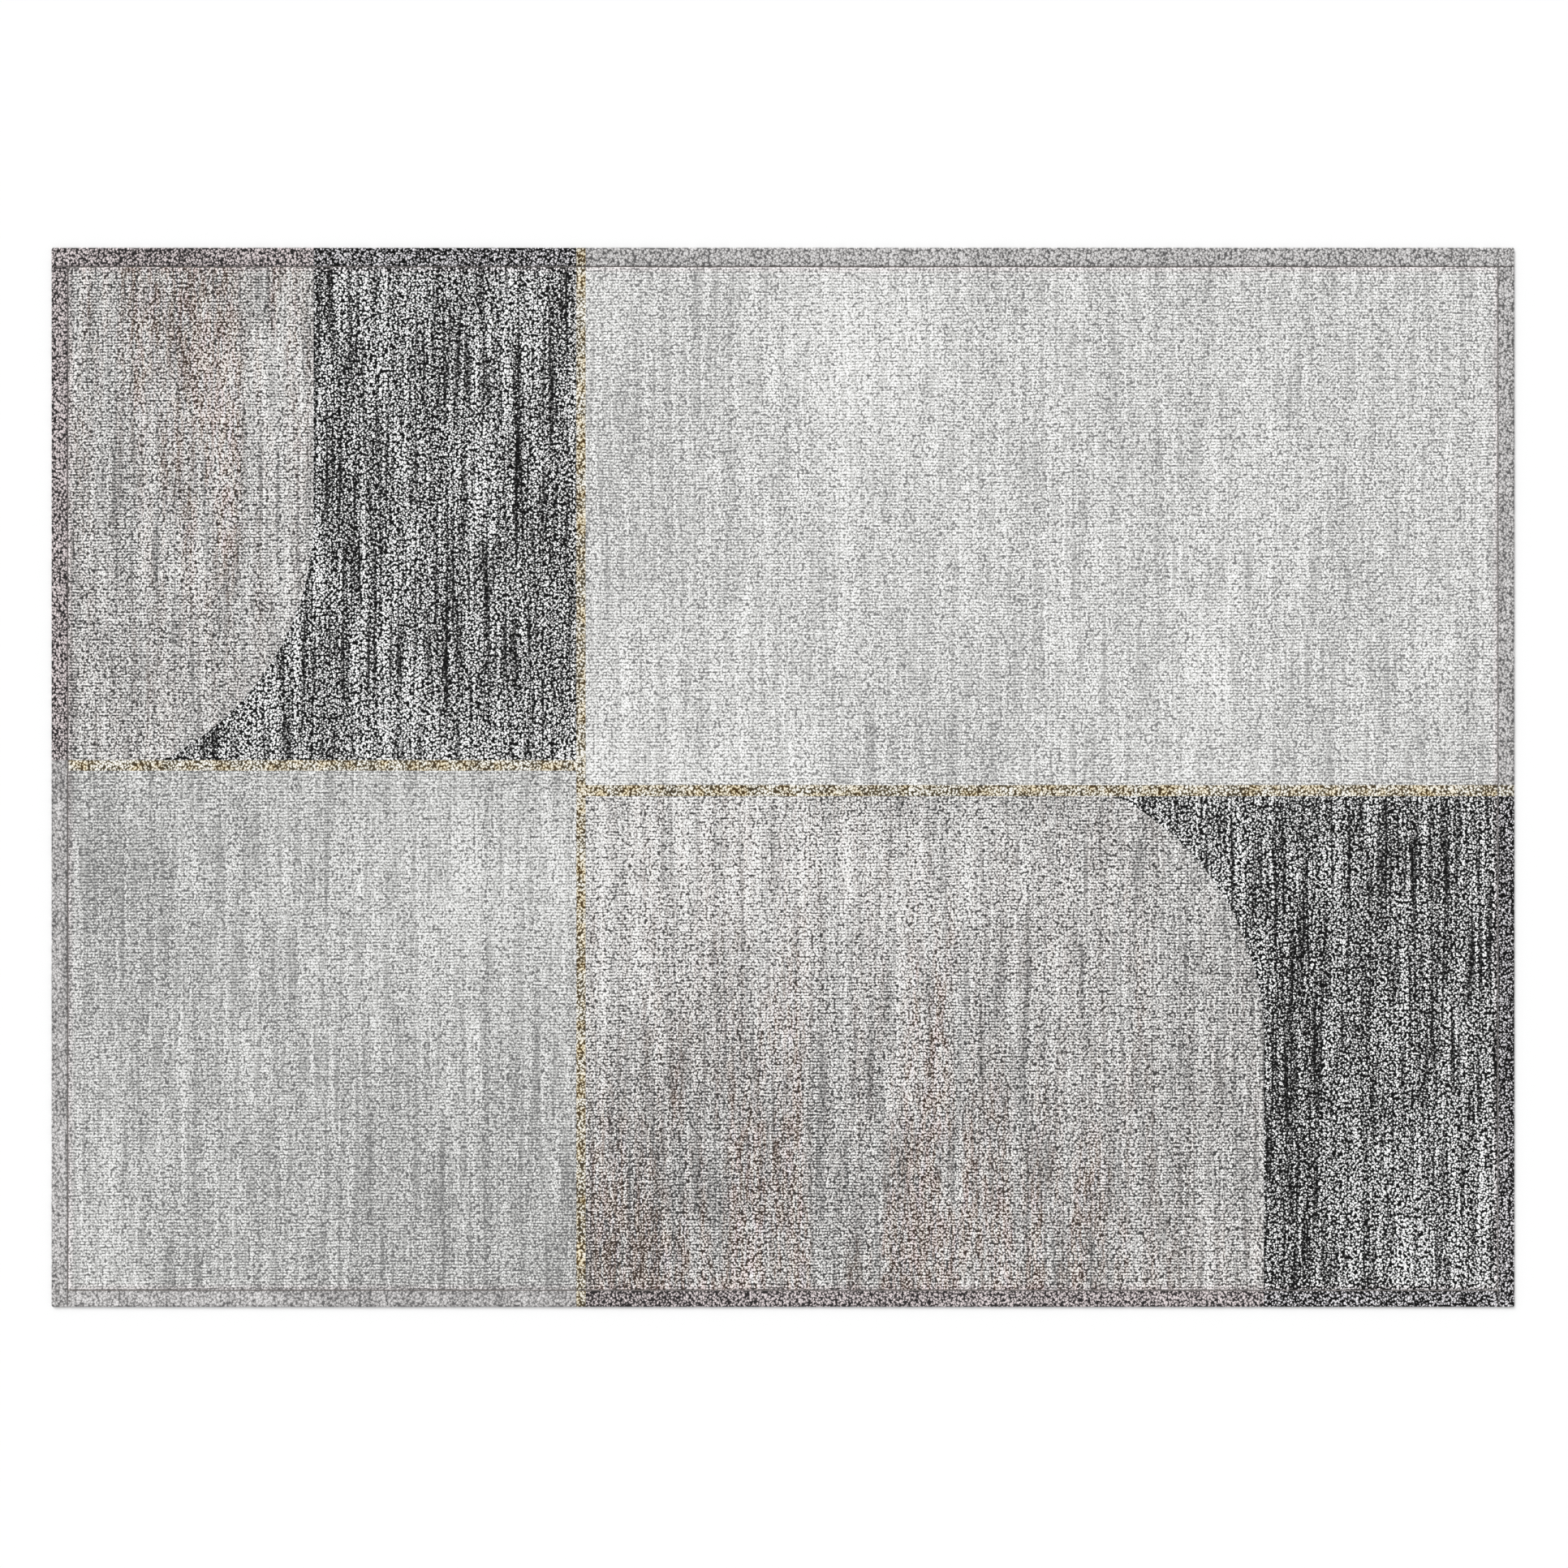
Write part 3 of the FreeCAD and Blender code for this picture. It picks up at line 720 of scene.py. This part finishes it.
def make_materials():
    """Every material of the rug, by name."""
    # The hems' tones: the fields' tones darkened and tinted as painted shade
    pale_hem = hem_shaded_tones(PALE, (0.52, 0.625, 0.76), (1.0, 0.98, 0.988))
    grey_hem = hem_shaded_tones(GREY, (0.80, 0.84, 0.90), (1.0, 0.975, 0.985))
    taupe_hem = hem_shaded_tones(TAUPE, (0.40, 0.56, 0.82), (1.0, 0.90, 0.92))
    charcoal_hem = hem_shaded_tones(CHARCOAL, (0.50, 0.60, 0.90), (1.0, 0.975, 1.01))
    return {
        "pale": yarn_material("pale_yarn", PALE, 1.55, 0.65, seed=1),
        "grey": yarn_material("grey_yarn", GREY, 1.55, 0.75, seed=11),
        "taupe": yarn_material("taupe_yarn", TAUPE, 1.8, 0.80, seed=21, brown=BROWN),
        "charcoal": yarn_material(
            "charcoal_yarn", CHARCOAL, 3.9, 1.8, seed=31, level=0.250, fleck_size=NUBBY_FLECK_SIZE,
            painted_gap_shade=0.25,
        ),
        "gold": gold_material("gold_yarn", seed=41),
        "hem_pale": hem_material("hem_pale", pale_hem, 1.6, seed=51, level=0.48),
        "hem_grey": hem_material("hem_grey", grey_hem, 1.25, seed=56),
        "hem_taupe": hem_material("hem_taupe", taupe_hem, 2.5, seed=61, level=0.44),
        "hem_charcoal": hem_material("hem_charcoal", charcoal_hem, 2.9, seed=66, level=0.29),
        # the hem's gold, darkened as painted shade
        "hem_gold": gold_material("hem_gold", seed=71, strength=0.9),
        "thread": thread_material("seam_thread", (0.24, 0.21, 0.22), seed=81),
        "felt": felt_material("backing_felt", (0.42, 0.41, 0.39), seed=86),
        "rubber": rubber_material("grip_rubber", (0.16, 0.16, 0.155), seed=91),
        "latex": rubber_material("bond_latex", (0.55, 0.53, 0.46), seed=96),
        "ground": plain_weave_material("ground_weave", (0.52, 0.49, 0.43), 0.0009, seed=101),
        "label": plain_weave_material("label_ribbon", (0.82, 0.82, 0.80), 0.0003, seed=106),
    }


# -------- the woven face


def straight_edge(place):
    """A field's edge that runs straight across the rug."""
    return lambda y: np.full_like(y, place)


def curved_edge(taupe, charcoal, radius, away):
    """A taupe field's edge: an arc that leaves the stripe beside it, then a straight line.

    away is 1 for a field north of its stripe and -1 for one south of it.
    """
    low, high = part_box(taupe)
    line = high.x
    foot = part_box(charcoal)[0].x
    stripe = low.y if away > 0 else high.y
    turn = math.acos(1 - (line - foot) / radius)
    centre = stripe + away * radius * math.sin(turn)

    def edge(y):
        short = np.maximum(away * (centre - y), 0)
        return line - radius + np.sqrt(radius**2 - short**2)

    return edge


# Brown blooms in the taupe yarn: (x, y, half width, half length, strength)
BLOOMS = (
    (-0.90, 0.74, 0.10, 0.14, 0.75),
    (-0.87, 0.58, 0.05, 0.14, 0.5),
    (-1.06, 0.66, 0.04, 0.14, 0.45),
    (-0.94, 0.42, 0.02, 0.20, 0.4),
    (-0.85, 0.36, 0.05, 0.16, 0.35),
    (-0.75, 0.70, 0.04, 0.14, 0.45),
    (-0.24, -0.70, 0.07, 0.20, 0.7),
    (-0.09, -0.66, 0.07, 0.24, 0.7),
    (0.01, -0.55, 0.03, 0.24, 0.4),
    (0.22, -0.45, 0.04, 0.24, 0.45),
    (0.24, -0.72, 0.09, 0.18, 0.7),
    (0.41, -0.72, 0.09, 0.20, 0.5),
    (0.52, -0.36, 0.02, 0.16, 0.3),
    (0.15, -0.76, 0.40, 0.07, 0.35),
)
LEAST_BLOOM = 0.10
BLOOM_BASE = 0.85
MOST_BLOOM = 0.85
BLOOM_STREAKS = ((0.011, 0.12, 1.1), (0.028, 0.30, 0.8))  # width, length and strength of each

# Broad lighter and darker patches, in the form of BLOOMS; below 0 is darker
SHADES = (
    (-0.42, -0.12, 0.30, 0.28, 0.12),
    (-0.58, -0.66, 0.22, 0.22, -0.06),
    (-1.02, -0.15, 0.10, 0.22, -0.08),
    (-1.04, -0.70, 0.07, 0.16, 0.08),
    (0.13, 0.64, 0.14, 0.18, 0.12),
    (0.22, 0.03, 0.13, 0.09, -0.13),
    (0.64, 0.15, 0.06, 0.25, 0.07),
    (-0.18, 0.55, 0.10, 0.30, -0.04),
    (0.12, -0.14, 0.35, 0.18, 0.11),
    (-0.22, -0.70, 0.12, 0.20, -0.10),
    (0.10, -0.62, 0.45, 0.22, -0.05),
    (-0.93, 0.76, 0.12, 0.10, -0.12),
    (-0.80, 0.52, 0.08, 0.12, 0.05),
    (-0.55, 0.66, 0.18, 0.14, 0.03),
    (-0.38, 0.10, 0.10, 0.22, -0.08),
    (0.77, -0.42, 0.035, 0.28, -0.11),
    (-0.68, 0.36, 0.025, 0.25, -0.10),
    (0.98, -0.66, 0.12, 0.12, 0.05),
    (0.90, -0.25, 0.25, 0.35, -0.05),
    (1.11, -0.38, 0.02, 0.30, -0.08),
)


def patches_at(x, y, patches):
    """The strengths of the patches that reach a place, added up."""
    total = np.zeros_like(x)
    for centre_x, centre_y, half_x, half_y, strength in patches:
        reach = ((x - centre_x) / half_x) ** 2 + ((y - centre_y) / half_y) ** 2
        total = total + strength * np.exp(-reach)
    return total


def bloom_at(x, y):
    """How brown the taupe yarn is: little outside the blooms, and streaky in them."""
    streaks = BLOOM_BASE
    for seed, (width, length, strength) in enumerate(BLOOM_STREAKS, start=7):
        streaks = streaks + strength * soft_noise(x, y, width, length, seed)
    return np.clip((LEAST_BLOOM + patches_at(x, y, BLOOMS)) * streaks, 0, MOST_BLOOM)


class Face:
    """The woven face: its outline, its height, and what a seam does to it."""

    def __init__(self):
        north_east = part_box("field_pale_north_east")
        south_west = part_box("field_grey_south_west")
        self.west = south_west[0].x
        self.south = south_west[0].y
        self.east = north_east[1].x
        self.north = north_east[1].y
        self.low = north_east[0].z
        self.top = north_east[1].z - YARN_SINK

    def seam_distance(self, x, y):
        """How far in from the nearest seam a place is."""
        beside = np.minimum(x - self.west, self.east - x)
        beyond = np.minimum(y - self.south, self.north - y)
        return np.maximum(np.minimum(beside, beyond), 0)

    def height(self, x, y, pile, rise):
        """The surface's height for a weave of that rise, with the lip and tuck at the seams."""
        distance = self.seam_distance(x, y)
        across = np.clip(distance / LIP_WIDTH, 0, 1)
        lip = LIP_RISE * np.sin(math.pi * across) ** 2
        tuck = TUCK_DEPTH * np.exp(-distance / TUCK_WIDTH)
        return self.top - rise * (1 - pile) + lip - tuck

    def looks(self, x, y, pile):
        """What the yarn materials read at each point."""
        return {
            "pile": pile,
            "bloom": bloom_at(x, y),
            "shade": patches_at(x, y, SHADES),
            "lip": np.clip(LIP_TINT_REACH - self.seam_distance(x, y) / LIP_WIDTH, 0, 1),
        }

    def side_steps(self):
        """Columns close together in the lips at the side seams."""
        return [self.west + o for o in SIDE_STEPS] + [self.east - o for o in SIDE_STEPS]


def put_on_root(made, node):
    """Puts a piece on the root body and hides the CAD part that it stands for."""
    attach(made, "root")
    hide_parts(node)


def place_sheet(made, node):
    """Puts a soft piece on the root body and hides the CAD part that it stands for."""
    put_on_root(made, node)


def weave_panel(face, rows, edges, weave, name, material):
    """A closed panel between two edges, with the relief of its weave on top."""
    west, east = edges
    share_step = weave.column_step / float(np.max(east - west))
    extra = [(place - west[0]) / (east[0] - west[0]) for place in face.side_steps()]
    across = steps(0.0, 1.0, share_step, extra)
    x = west[:, None] + across[None, :] * (east - west)[:, None]
    y = np.repeat(rows[:, None], len(across), axis=1)
    pile = weave.height(x, y)
    made = slab(name, x, y, face.height(x, y, pile, weave.rise), face.low)
    spare = len(made.data.vertices) - pile.size
    for look, values in face.looks(x, y, pile).items():
        add_attribute(made, look, np.concatenate([values.ravel(), np.zeros(spare)]))
    made.data.materials.append(material)
    return made, x.max() - x.min()


def weave_field(face, node, edges, weave, material, panels):
    """A colour field's yarn as closed panels side by side."""
    low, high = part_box(node)
    rows = steps(low.y, high.y, weave.row_step)
    west = edges[0](rows)
    width = edges[1](rows) - west
    shares = np.linspace(0, 1, panels + 1)
    for number in range(panels):
        panel_edges = (west + shares[number] * width, west + shares[number + 1] * width)
        name = node if panels == 1 else f"{node}_{number + 1}"
        made, flat_width = weave_panel(face, rows, panel_edges, weave, f"{name}_yarn", material)
        place_sheet(made, node)


def weave_face(materials):
    """All nine fields and stripes of the face."""
    face = Face()
    north_curve = curved_edge("field_taupe_north_west", "field_charcoal_north", CURVE_RADIUS_NORTH, 1)
    south_curve = curved_edge("field_taupe_south", "field_charcoal_south_east", CURVE_RADIUS_SOUTH, -1)
    west = straight_edge(face.west)
    east = straight_edge(face.east)
    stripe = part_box("gold_stripe_long")
    stripe_west = straight_edge(stripe[0].x)
    stripe_east = straight_edge(stripe[1].x)
    fields = [
        ("field_pale_north_east", (stripe_east, east), RIBBED, "pale", 2),
        ("field_grey_south_west", (west, stripe_west), RIBBED, "grey", 2),
        ("field_taupe_north_west", (west, north_curve), RIBBED, "taupe", 1),
        ("field_taupe_south", (stripe_east, south_curve), RIBBED, "taupe", 2),
        ("field_charcoal_north", (north_curve, stripe_west), NUBBY, "charcoal", 1),
        ("field_charcoal_south_east", (south_curve, east), NUBBY, "charcoal", 1),
        ("gold_stripe_long", (stripe_west, stripe_east), STRIPE, "gold", 1),
        ("gold_stripe_west", (west, stripe_west), STRIPE, "gold", 1),
        ("gold_stripe_east", (stripe_east, east), STRIPE, "gold", 1),
    ]
    for node, edges, weave, yarn, panels in fields:
        weave_field(face, node, edges, weave, materials[yarn], panels)


# -------- hems


class HemSection:
    """A hem's cut-through shape: distance in from the rug's edge, and height."""

    def __init__(self, top, band_width, leg_width):
        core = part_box("ground_cloth")
        self.top = top
        self.band_low = core[1].z
        self.leg_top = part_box("bond_coat")[0].z
        self.core_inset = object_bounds()[1].x - core[1].x
        self.band_width = band_width
        self.leg_width = leg_width
        self.roll = top / 2

    def band(self):
        """The rounded edge at the seam, then the flat band out to the fold."""
        quarter = np.linspace(0, math.pi / 2, ROUNDING_POINTS)
        edge_x = self.band_width - SEAM_ROUNDING * (1 - np.cos(quarter))
        rise = SEAM_EDGE_FOOT + (1 - SEAM_EDGE_FOOT) * np.sin(quarter)
        edge_z = self.band_low + (self.top - self.band_low) * rise
        flat_x = np.arange(self.band_width - SEAM_ROUNDING - HEM_STEP, self.roll, -HEM_STEP)
        flat_z = np.full(len(flat_x), self.top)
        return np.concatenate([edge_x, flat_x]), np.concatenate([edge_z, flat_z])

    def fold(self):
        """The half circle round the rug's edge."""
        half = np.linspace(0, math.pi, FOLD_POINTS)
        return self.roll * (1 - np.sin(half)), self.roll * (1 + np.cos(half))

    def leg(self):
        """The leg under the rug, grooved by the seam's lower thread, up to its cut edge."""
        seam = self.band_width + SEAM_HALF_CHANNEL
        groove = seam + STITCH_GROOVE_WIDTH * np.linspace(-1, 1, GROOVE_POINTS)
        flat_x = np.sort(np.concatenate([[self.roll + LEG_START], LEG_PLACES, groove]))
        depth = np.clip(1 - ((flat_x - seam) / STITCH_GROOVE_WIDTH) ** 2, 0, 1)
        edge_x = [self.leg_width - LEG_EDGE_ROUNDING, self.leg_width, self.leg_width]
        edge_z = [*LEG_EDGE_HEIGHTS, self.leg_top]
        return np.concatenate([flat_x, edge_x]), np.concatenate([STITCH_GROOVE_DEPTH * depth, edge_z])

    def inside(self):
        """The corners inside the fold, round the ground cloth and its bond coat."""
        x = np.array([self.core_inset, self.core_inset, self.band_width])
        return x, np.array([self.leg_top, self.band_low, self.band_low])

    def points(self):
        """The closed outline, from the seam over the band, round the fold and under the leg."""
        parts = [self.band(), self.fold(), self.leg(), self.inside()]
        distance = np.concatenate([part[0] for part in parts])
        height = np.concatenate([part[1] for part in parts])
        return distance, height


def end_squeeze(stations, rounded, roll):
    """How thick a hem is at each station: 1, and less near an end that is rounded."""
    squeeze = np.ones(len(stations))
    for is_round, gap in zip(rounded, (stations - stations[0], stations[-1] - stations)):
        if is_round:
            closeness = np.clip(1 - gap / roll, 0, 1)
            squeeze = np.minimum(squeeze, np.sqrt(np.maximum(1 - closeness**2, END_SQUEEZE**2)))
    return squeeze[:, None]


def hem_stations(start, end, axis, zones):
    """Places along a hem: close together at its ends, and one at each change of yarn."""
    extra = [limit for limit, _ in zones]
    extra += [start + e for e in HEM_END_STEPS] + [end - e for e in HEM_END_STEPS]
    return steps(start, end, ROW_STEP if axis == 1 else HEM_STATION_STEP, extra)


def fold_hem(side, axis, inward, rounded, zones, materials):
    """One hem, folded over the rug's edge. axis is 0 where it runs along X and 1 along Y."""
    node = f"hem_{side}"
    low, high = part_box(node)
    seam_low, seam_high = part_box(f"needle_thread_{side}")
    across = 1 - axis
    outer = low[across] if inward > 0 else high[across]
    seam = (seam_low[across] + seam_high[across]) / 2
    band_width = abs(seam - outer) - SEAM_HALF_CHANNEL
    section = HemSection(high.z, band_width, high[across] - low[across])
    distance, height = section.points()
    stations = hem_stations(low[axis], high[axis], axis, zones)
    shape = (len(stations), len(distance))
    along = np.broadcast_to(stations[:, None], shape)
    squeeze = end_squeeze(stations, rounded, section.roll)
    inset = distance + section.roll * (1 - squeeze) * (1 - distance / section.leg_width)
    sideways = outer + inward * inset
    x, y = (along, sideways) if axis == 0 else (sideways, along)
    on_top = np.clip((height / section.top - BAND_START) / (1 - BAND_START), 0, 1)
    beside_seam = np.exp(-np.abs(section.band_width - inset) / PUCKER_WIDTH)
    pucker = PUCKER_RISE * beside_seam * np.cos(FULL_TURN * along / STITCH_PITCH)
    pile = HEM_RIB_SHARE * ribbed(x, y) + (1 - HEM_RIB_SHARE) * nubbed(x, y)
    z = section.roll + (height - section.roll) * squeeze
    z = z + on_top * (pucker - HEM_WEAVE_RISE * (1 - pile))
    points = np.stack([x, y, z], axis=-1)
    flip = (axis == 0) == (inward > 0)
    made = build_tubes(f"{node}_cloth", points, 1, *shape, flip)
    # painted shade at the fold and in the seam's groove, taken off the broad patches
    at_fold = np.exp(-((inset / HEM_FOLD_SHADE_WIDTH) ** 2))
    edge_shade = HEM_EDGE_SHADE * (at_fold + beside_seam * on_top)
    add_attribute(made, "shade", patches_at(x, y, SHADES) - edge_shade)
    colour_zones(made, stations, len(distance), zones, materials)
    place_sheet(made, node)


def colour_zones(made, stations, ring, zones, materials):
    """Gives each stretch of a hem the yarn of the field that it is turned from."""
    for _, yarn in zones:
        made.data.materials.append(materials[f"hem_{yarn}"])
    limits = [limit for limit, _ in zones[:-1]]
    middles = (stations[:-1] + stations[1:]) / 2
    zone = np.searchsorted(limits, middles)
    face_zone = np.concatenate([np.repeat(zone, ring), [zone[0], zone[-1]]])
    made.data.polygons.foreach_set("material_index", face_zone.astype(np.int32))


def fold_hems(materials):
    """The four hems, with the colours of the fields they are turned from."""
    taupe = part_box("field_taupe_north_west")
    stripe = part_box("gold_stripe_long")
    east_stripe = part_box("gold_stripe_east")
    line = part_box("field_taupe_south")[1].x
    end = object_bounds()[1].x
    north = [(taupe[1].x, "taupe"), (stripe[0].x, "charcoal"), (stripe[1].x, "gold"), (end, "pale")]
    south = [(stripe[0].x, "grey"), (stripe[1].x, "gold"), (line, "taupe"), (end, "charcoal")]
    west = [(taupe[0].y, "grey"), (end, "taupe")]
    east = [(east_stripe[0].y, "charcoal"), (east_stripe[1].y, "gold"), (end, "pale")]
    fold_hem("north", 0, -1, (True, True), north, materials)
    fold_hem("south", 0, 1, (False, False), south, materials)
    fold_hem("west", 1, 1, (True, False), west, materials)
    fold_hem("east", 1, -1, (True, False), east, materials)


# -------- seams


def stitch_line(node, axis, material, over):
    """A row of real stitches: each comes up through the cloth, lies along it and goes down."""
    low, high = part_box(node)
    across = 1 - axis
    middle = (low[across] + high[across]) / 2
    radius = (high[across] - low[across]) / 2
    length = high[axis] - low[axis]
    count = int(length / STITCH_PITCH)
    row_start = low[axis] + (length - count * STITCH_PITCH) / 2
    starts = row_start + STITCH_PITCH * np.arange(count) + (STITCH_PITCH - STITCH_LENGTH) / 2
    share = np.linspace(0, 1, STITCH_RINGS)
    turn = np.linspace(0, FULL_TURN, STITCH_SIDES, endpoint=False)
    swell = np.sin(math.pi * share)
    thin = radius * (STITCH_END_SHARE + (1 - STITCH_END_SHARE) * swell)
    rise = (high.z - low.z - 2 * radius) * swell**STITCH_ROUNDNESS
    lift = low.z + radius + rise if over else high.z - radius - rise
    shape = (count, STITCH_RINGS, STITCH_SIDES)
    along = np.broadcast_to((starts[:, None] + STITCH_LENGTH * share)[:, :, None], shape)
    side = np.broadcast_to(middle + thin[:, None] * np.cos(turn), shape)
    height = np.broadcast_to(lift[:, None] + thin[:, None] * np.sin(turn), shape)
    order = [along, side, height] if axis == 0 else [side, along, height]
    made = build_tubes(f"{node}_stitches", np.stack(order, axis=-1), *shape, flip=axis == 0)
    made.data.materials.append(material)
    put_on_root(made, node)


def sew_seams(materials):
    """The upper and the lower thread of each of the four seams."""
    for side, axis in (("north", 0), ("south", 0), ("west", 1), ("east", 1)):
        stitch_line(f"needle_thread_{side}", axis, materials["thread"], over=True)
        stitch_line(f"bobbin_thread_{side}", axis, materials["thread"], over=False)


# -------- underside


def near_label(x, y, margin):
    """Where a place lies over the label or within the margin round it."""
    low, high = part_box("care_label")
    in_x = (x > low.x - margin) & (x < high.x + margin)
    in_y = (y > low.y - margin) & (y < high.y + margin)
    return in_x & in_y


def lay_felt(materials):
    """The felt backing, with a shallow pocket where the label lies."""
    low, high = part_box("non_slip_backing")
    label_low, label_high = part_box("care_label")
    side_x = [label_low.x - POCKET_MARGIN, label_low.x, label_high.x, label_high.x + POCKET_MARGIN]
    side_y = [label_low.y - POCKET_MARGIN, label_low.y, label_high.y, label_high.y + POCKET_MARGIN]
    columns = steps(low.x, high.x, FELT_STEP, side_x)
    rows = steps(low.y, high.y, FELT_STEP, side_y)
    x, y = np.meshgrid(columns, rows)
    under = low.z + DOT_HEIGHT + FELT_HAIR * soft_noise(x, y, *FELT_WAVE, seed=11)
    under = np.where(near_label(x, y, POCKET_SLACK), label_high.z + POCKET_GAP, under)
    made = slab("backing_felt", x, y, under, high.z, up=False)
    made.data.materials.append(materials["felt"])
    place_sheet(made, "non_slip_backing")


def dot_centres(low, high):
    """The middles of the grip dots, in offset rows that leave out the label."""
    edge = DOT_PITCH / 2
    row_pitch = DOT_PITCH * math.sqrt(3) / 2
    centres = []
    for row, y in enumerate(np.arange(low.y + edge, high.y - edge, row_pitch)):
        offset = edge if row % 2 else 0.0
        for x in np.arange(low.x + edge + offset, high.x - edge, DOT_PITCH):
            if not near_label(x, y, DOT_WIDTH):
                centres.append((x, y))
    return np.array(centres)


def print_grip_dots(materials):
    """Rubber dots on the felt, which the rug stands on."""
    low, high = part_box("non_slip_backing")
    centres = dot_centres(low, high)
    turn = np.linspace(0, FULL_TURN, DOT_SIDES, endpoint=False)
    radius = DOT_WIDTH / 2
    rings = ((radius, low.z + DOT_HEIGHT + DOT_ROOT), (DOT_TAPER * radius, low.z))
    layers = []
    for size, z in rings:
        x = centres[:, 0, None] + size * np.cos(turn)
        y = centres[:, 1, None] + size * np.sin(turn)
        layers.append(np.stack([x, y, np.full(x.shape, z)], axis=-1))
    points = np.stack(layers, axis=1)
    made = build_tubes("grip_dots", points, len(centres), len(rings), DOT_SIDES, flip=True)
    made.data.materials.append(materials["rubber"])
    put_on_root(made, "non_slip_backing")


def sew_label(materials):
    """The blank care label: a woven ribbon with folded ends, waved a little."""
    low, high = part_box("care_label")
    x, y = np.meshgrid(steps(low.x, high.x, LABEL_STEP), steps(low.y, high.y, LABEL_STEP))
    wave = LABEL_WAVE_RISE * soft_noise(x, y, *LABEL_WAVE, seed=13)
    in_fold = np.minimum(x - low.x, high.x - x) < LABEL_FOLD
    under = low.z + np.where(in_fold, 0.0, LABEL_FOLD_RISE) + LABEL_FLOOR_GAP + wave
    made = slab("care_label_ribbon", x, y, under, high.z, up=False)
    made.data.materials.append(materials["label"])
    place_sheet(made, "care_label")


def finish_inner_layers(nodes, materials):
    """The two layers inside the rug keep their CAD shape."""
    for node, material in (("ground_cloth", "ground"), ("bond_coat", "latex")):
        solid = nodes[node]
        solid.data.materials.clear()
        solid.data.materials.append(materials[material])


# -------- studio


def make_floor():
    """A wide pale floor just under the rug, so wide that a low view still ends on it."""
    bpy.ops.mesh.primitive_plane_add(size=FLOOR_SIZE, location=(0, 0, -FLOOR_GAP))
    floor = bpy.context.object
    floor.name = "studio_floor"
    shader = Shader("studio_floor")
    tone = shader.total(0.5, shader.noise(FLOOR_CLOUD, 120))
    colour = shader.ramp(tone, [(0.0, grey(0.89)), (1.0, grey(0.91))])
    floor.data.materials.append(shader.finish(colour, roughness=0.9, sheen=0.0))
    floor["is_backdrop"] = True


def make_light():
    """Even light from the whole sky, and a broad soft sun from the upper left."""
    world = bpy.data.worlds.new("studio_sky")
    bpy.context.scene.world = world
    world.use_nodes = True
    sky = world.node_tree.nodes["Background"]
    sky.inputs["Color"].default_value = (1, 1, 1, 1)
    sky.inputs["Strength"].default_value = SKY_STRENGTH
    sun = bpy.data.lights.new("soft_sun", "SUN")
    sun.energy = SUN_STRENGTH
    sun.angle = math.radians(SUN_SPREAD)
    lamp = bpy.data.objects.new("soft_sun", sun)
    tilt_x, tilt_y = SUN_TILT
    lamp.rotation_euler = (math.radians(tilt_x), math.radians(tilt_y), 0)
    bpy.context.collection.objects.link(lamp)
    lamp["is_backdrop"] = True


def make_camera():
    """Straight above the rug, as in a catalogue picture."""
    camera = bpy.data.cameras.new("camera")
    camera.lens = CAMERA_LENS
    camera.sensor_width = SENSOR_WIDTH
    camera.clip_end = CAMERA_REACH
    eye = bpy.data.objects.new("camera", camera)
    eye.location = (*CAMERA_PLACE, FRAME_WIDTH * CAMERA_LENS / SENSOR_WIDTH)
    bpy.context.collection.objects.link(eye)
    bpy.context.scene.camera = eye


def set_picture_tone():
    """Shows colours as they are, as a catalogue picture does."""
    view = bpy.context.scene.view_settings
    view.view_transform = "Standard"
    view.look = "None"


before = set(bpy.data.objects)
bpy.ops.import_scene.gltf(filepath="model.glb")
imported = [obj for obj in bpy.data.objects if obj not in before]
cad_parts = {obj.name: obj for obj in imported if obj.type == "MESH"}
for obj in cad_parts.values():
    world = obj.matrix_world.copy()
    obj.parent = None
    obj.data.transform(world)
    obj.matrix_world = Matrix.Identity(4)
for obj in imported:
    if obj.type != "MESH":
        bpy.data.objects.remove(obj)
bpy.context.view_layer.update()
all_materials = make_materials()
weave_face(all_materials)
fold_hems(all_materials)
sew_seams(all_materials)
lay_felt(all_materials)
print_grip_dots(all_materials)
sew_label(all_materials)
finish_inner_layers(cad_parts, all_materials)
make_floor()
make_light()
make_camera()
set_picture_tone()
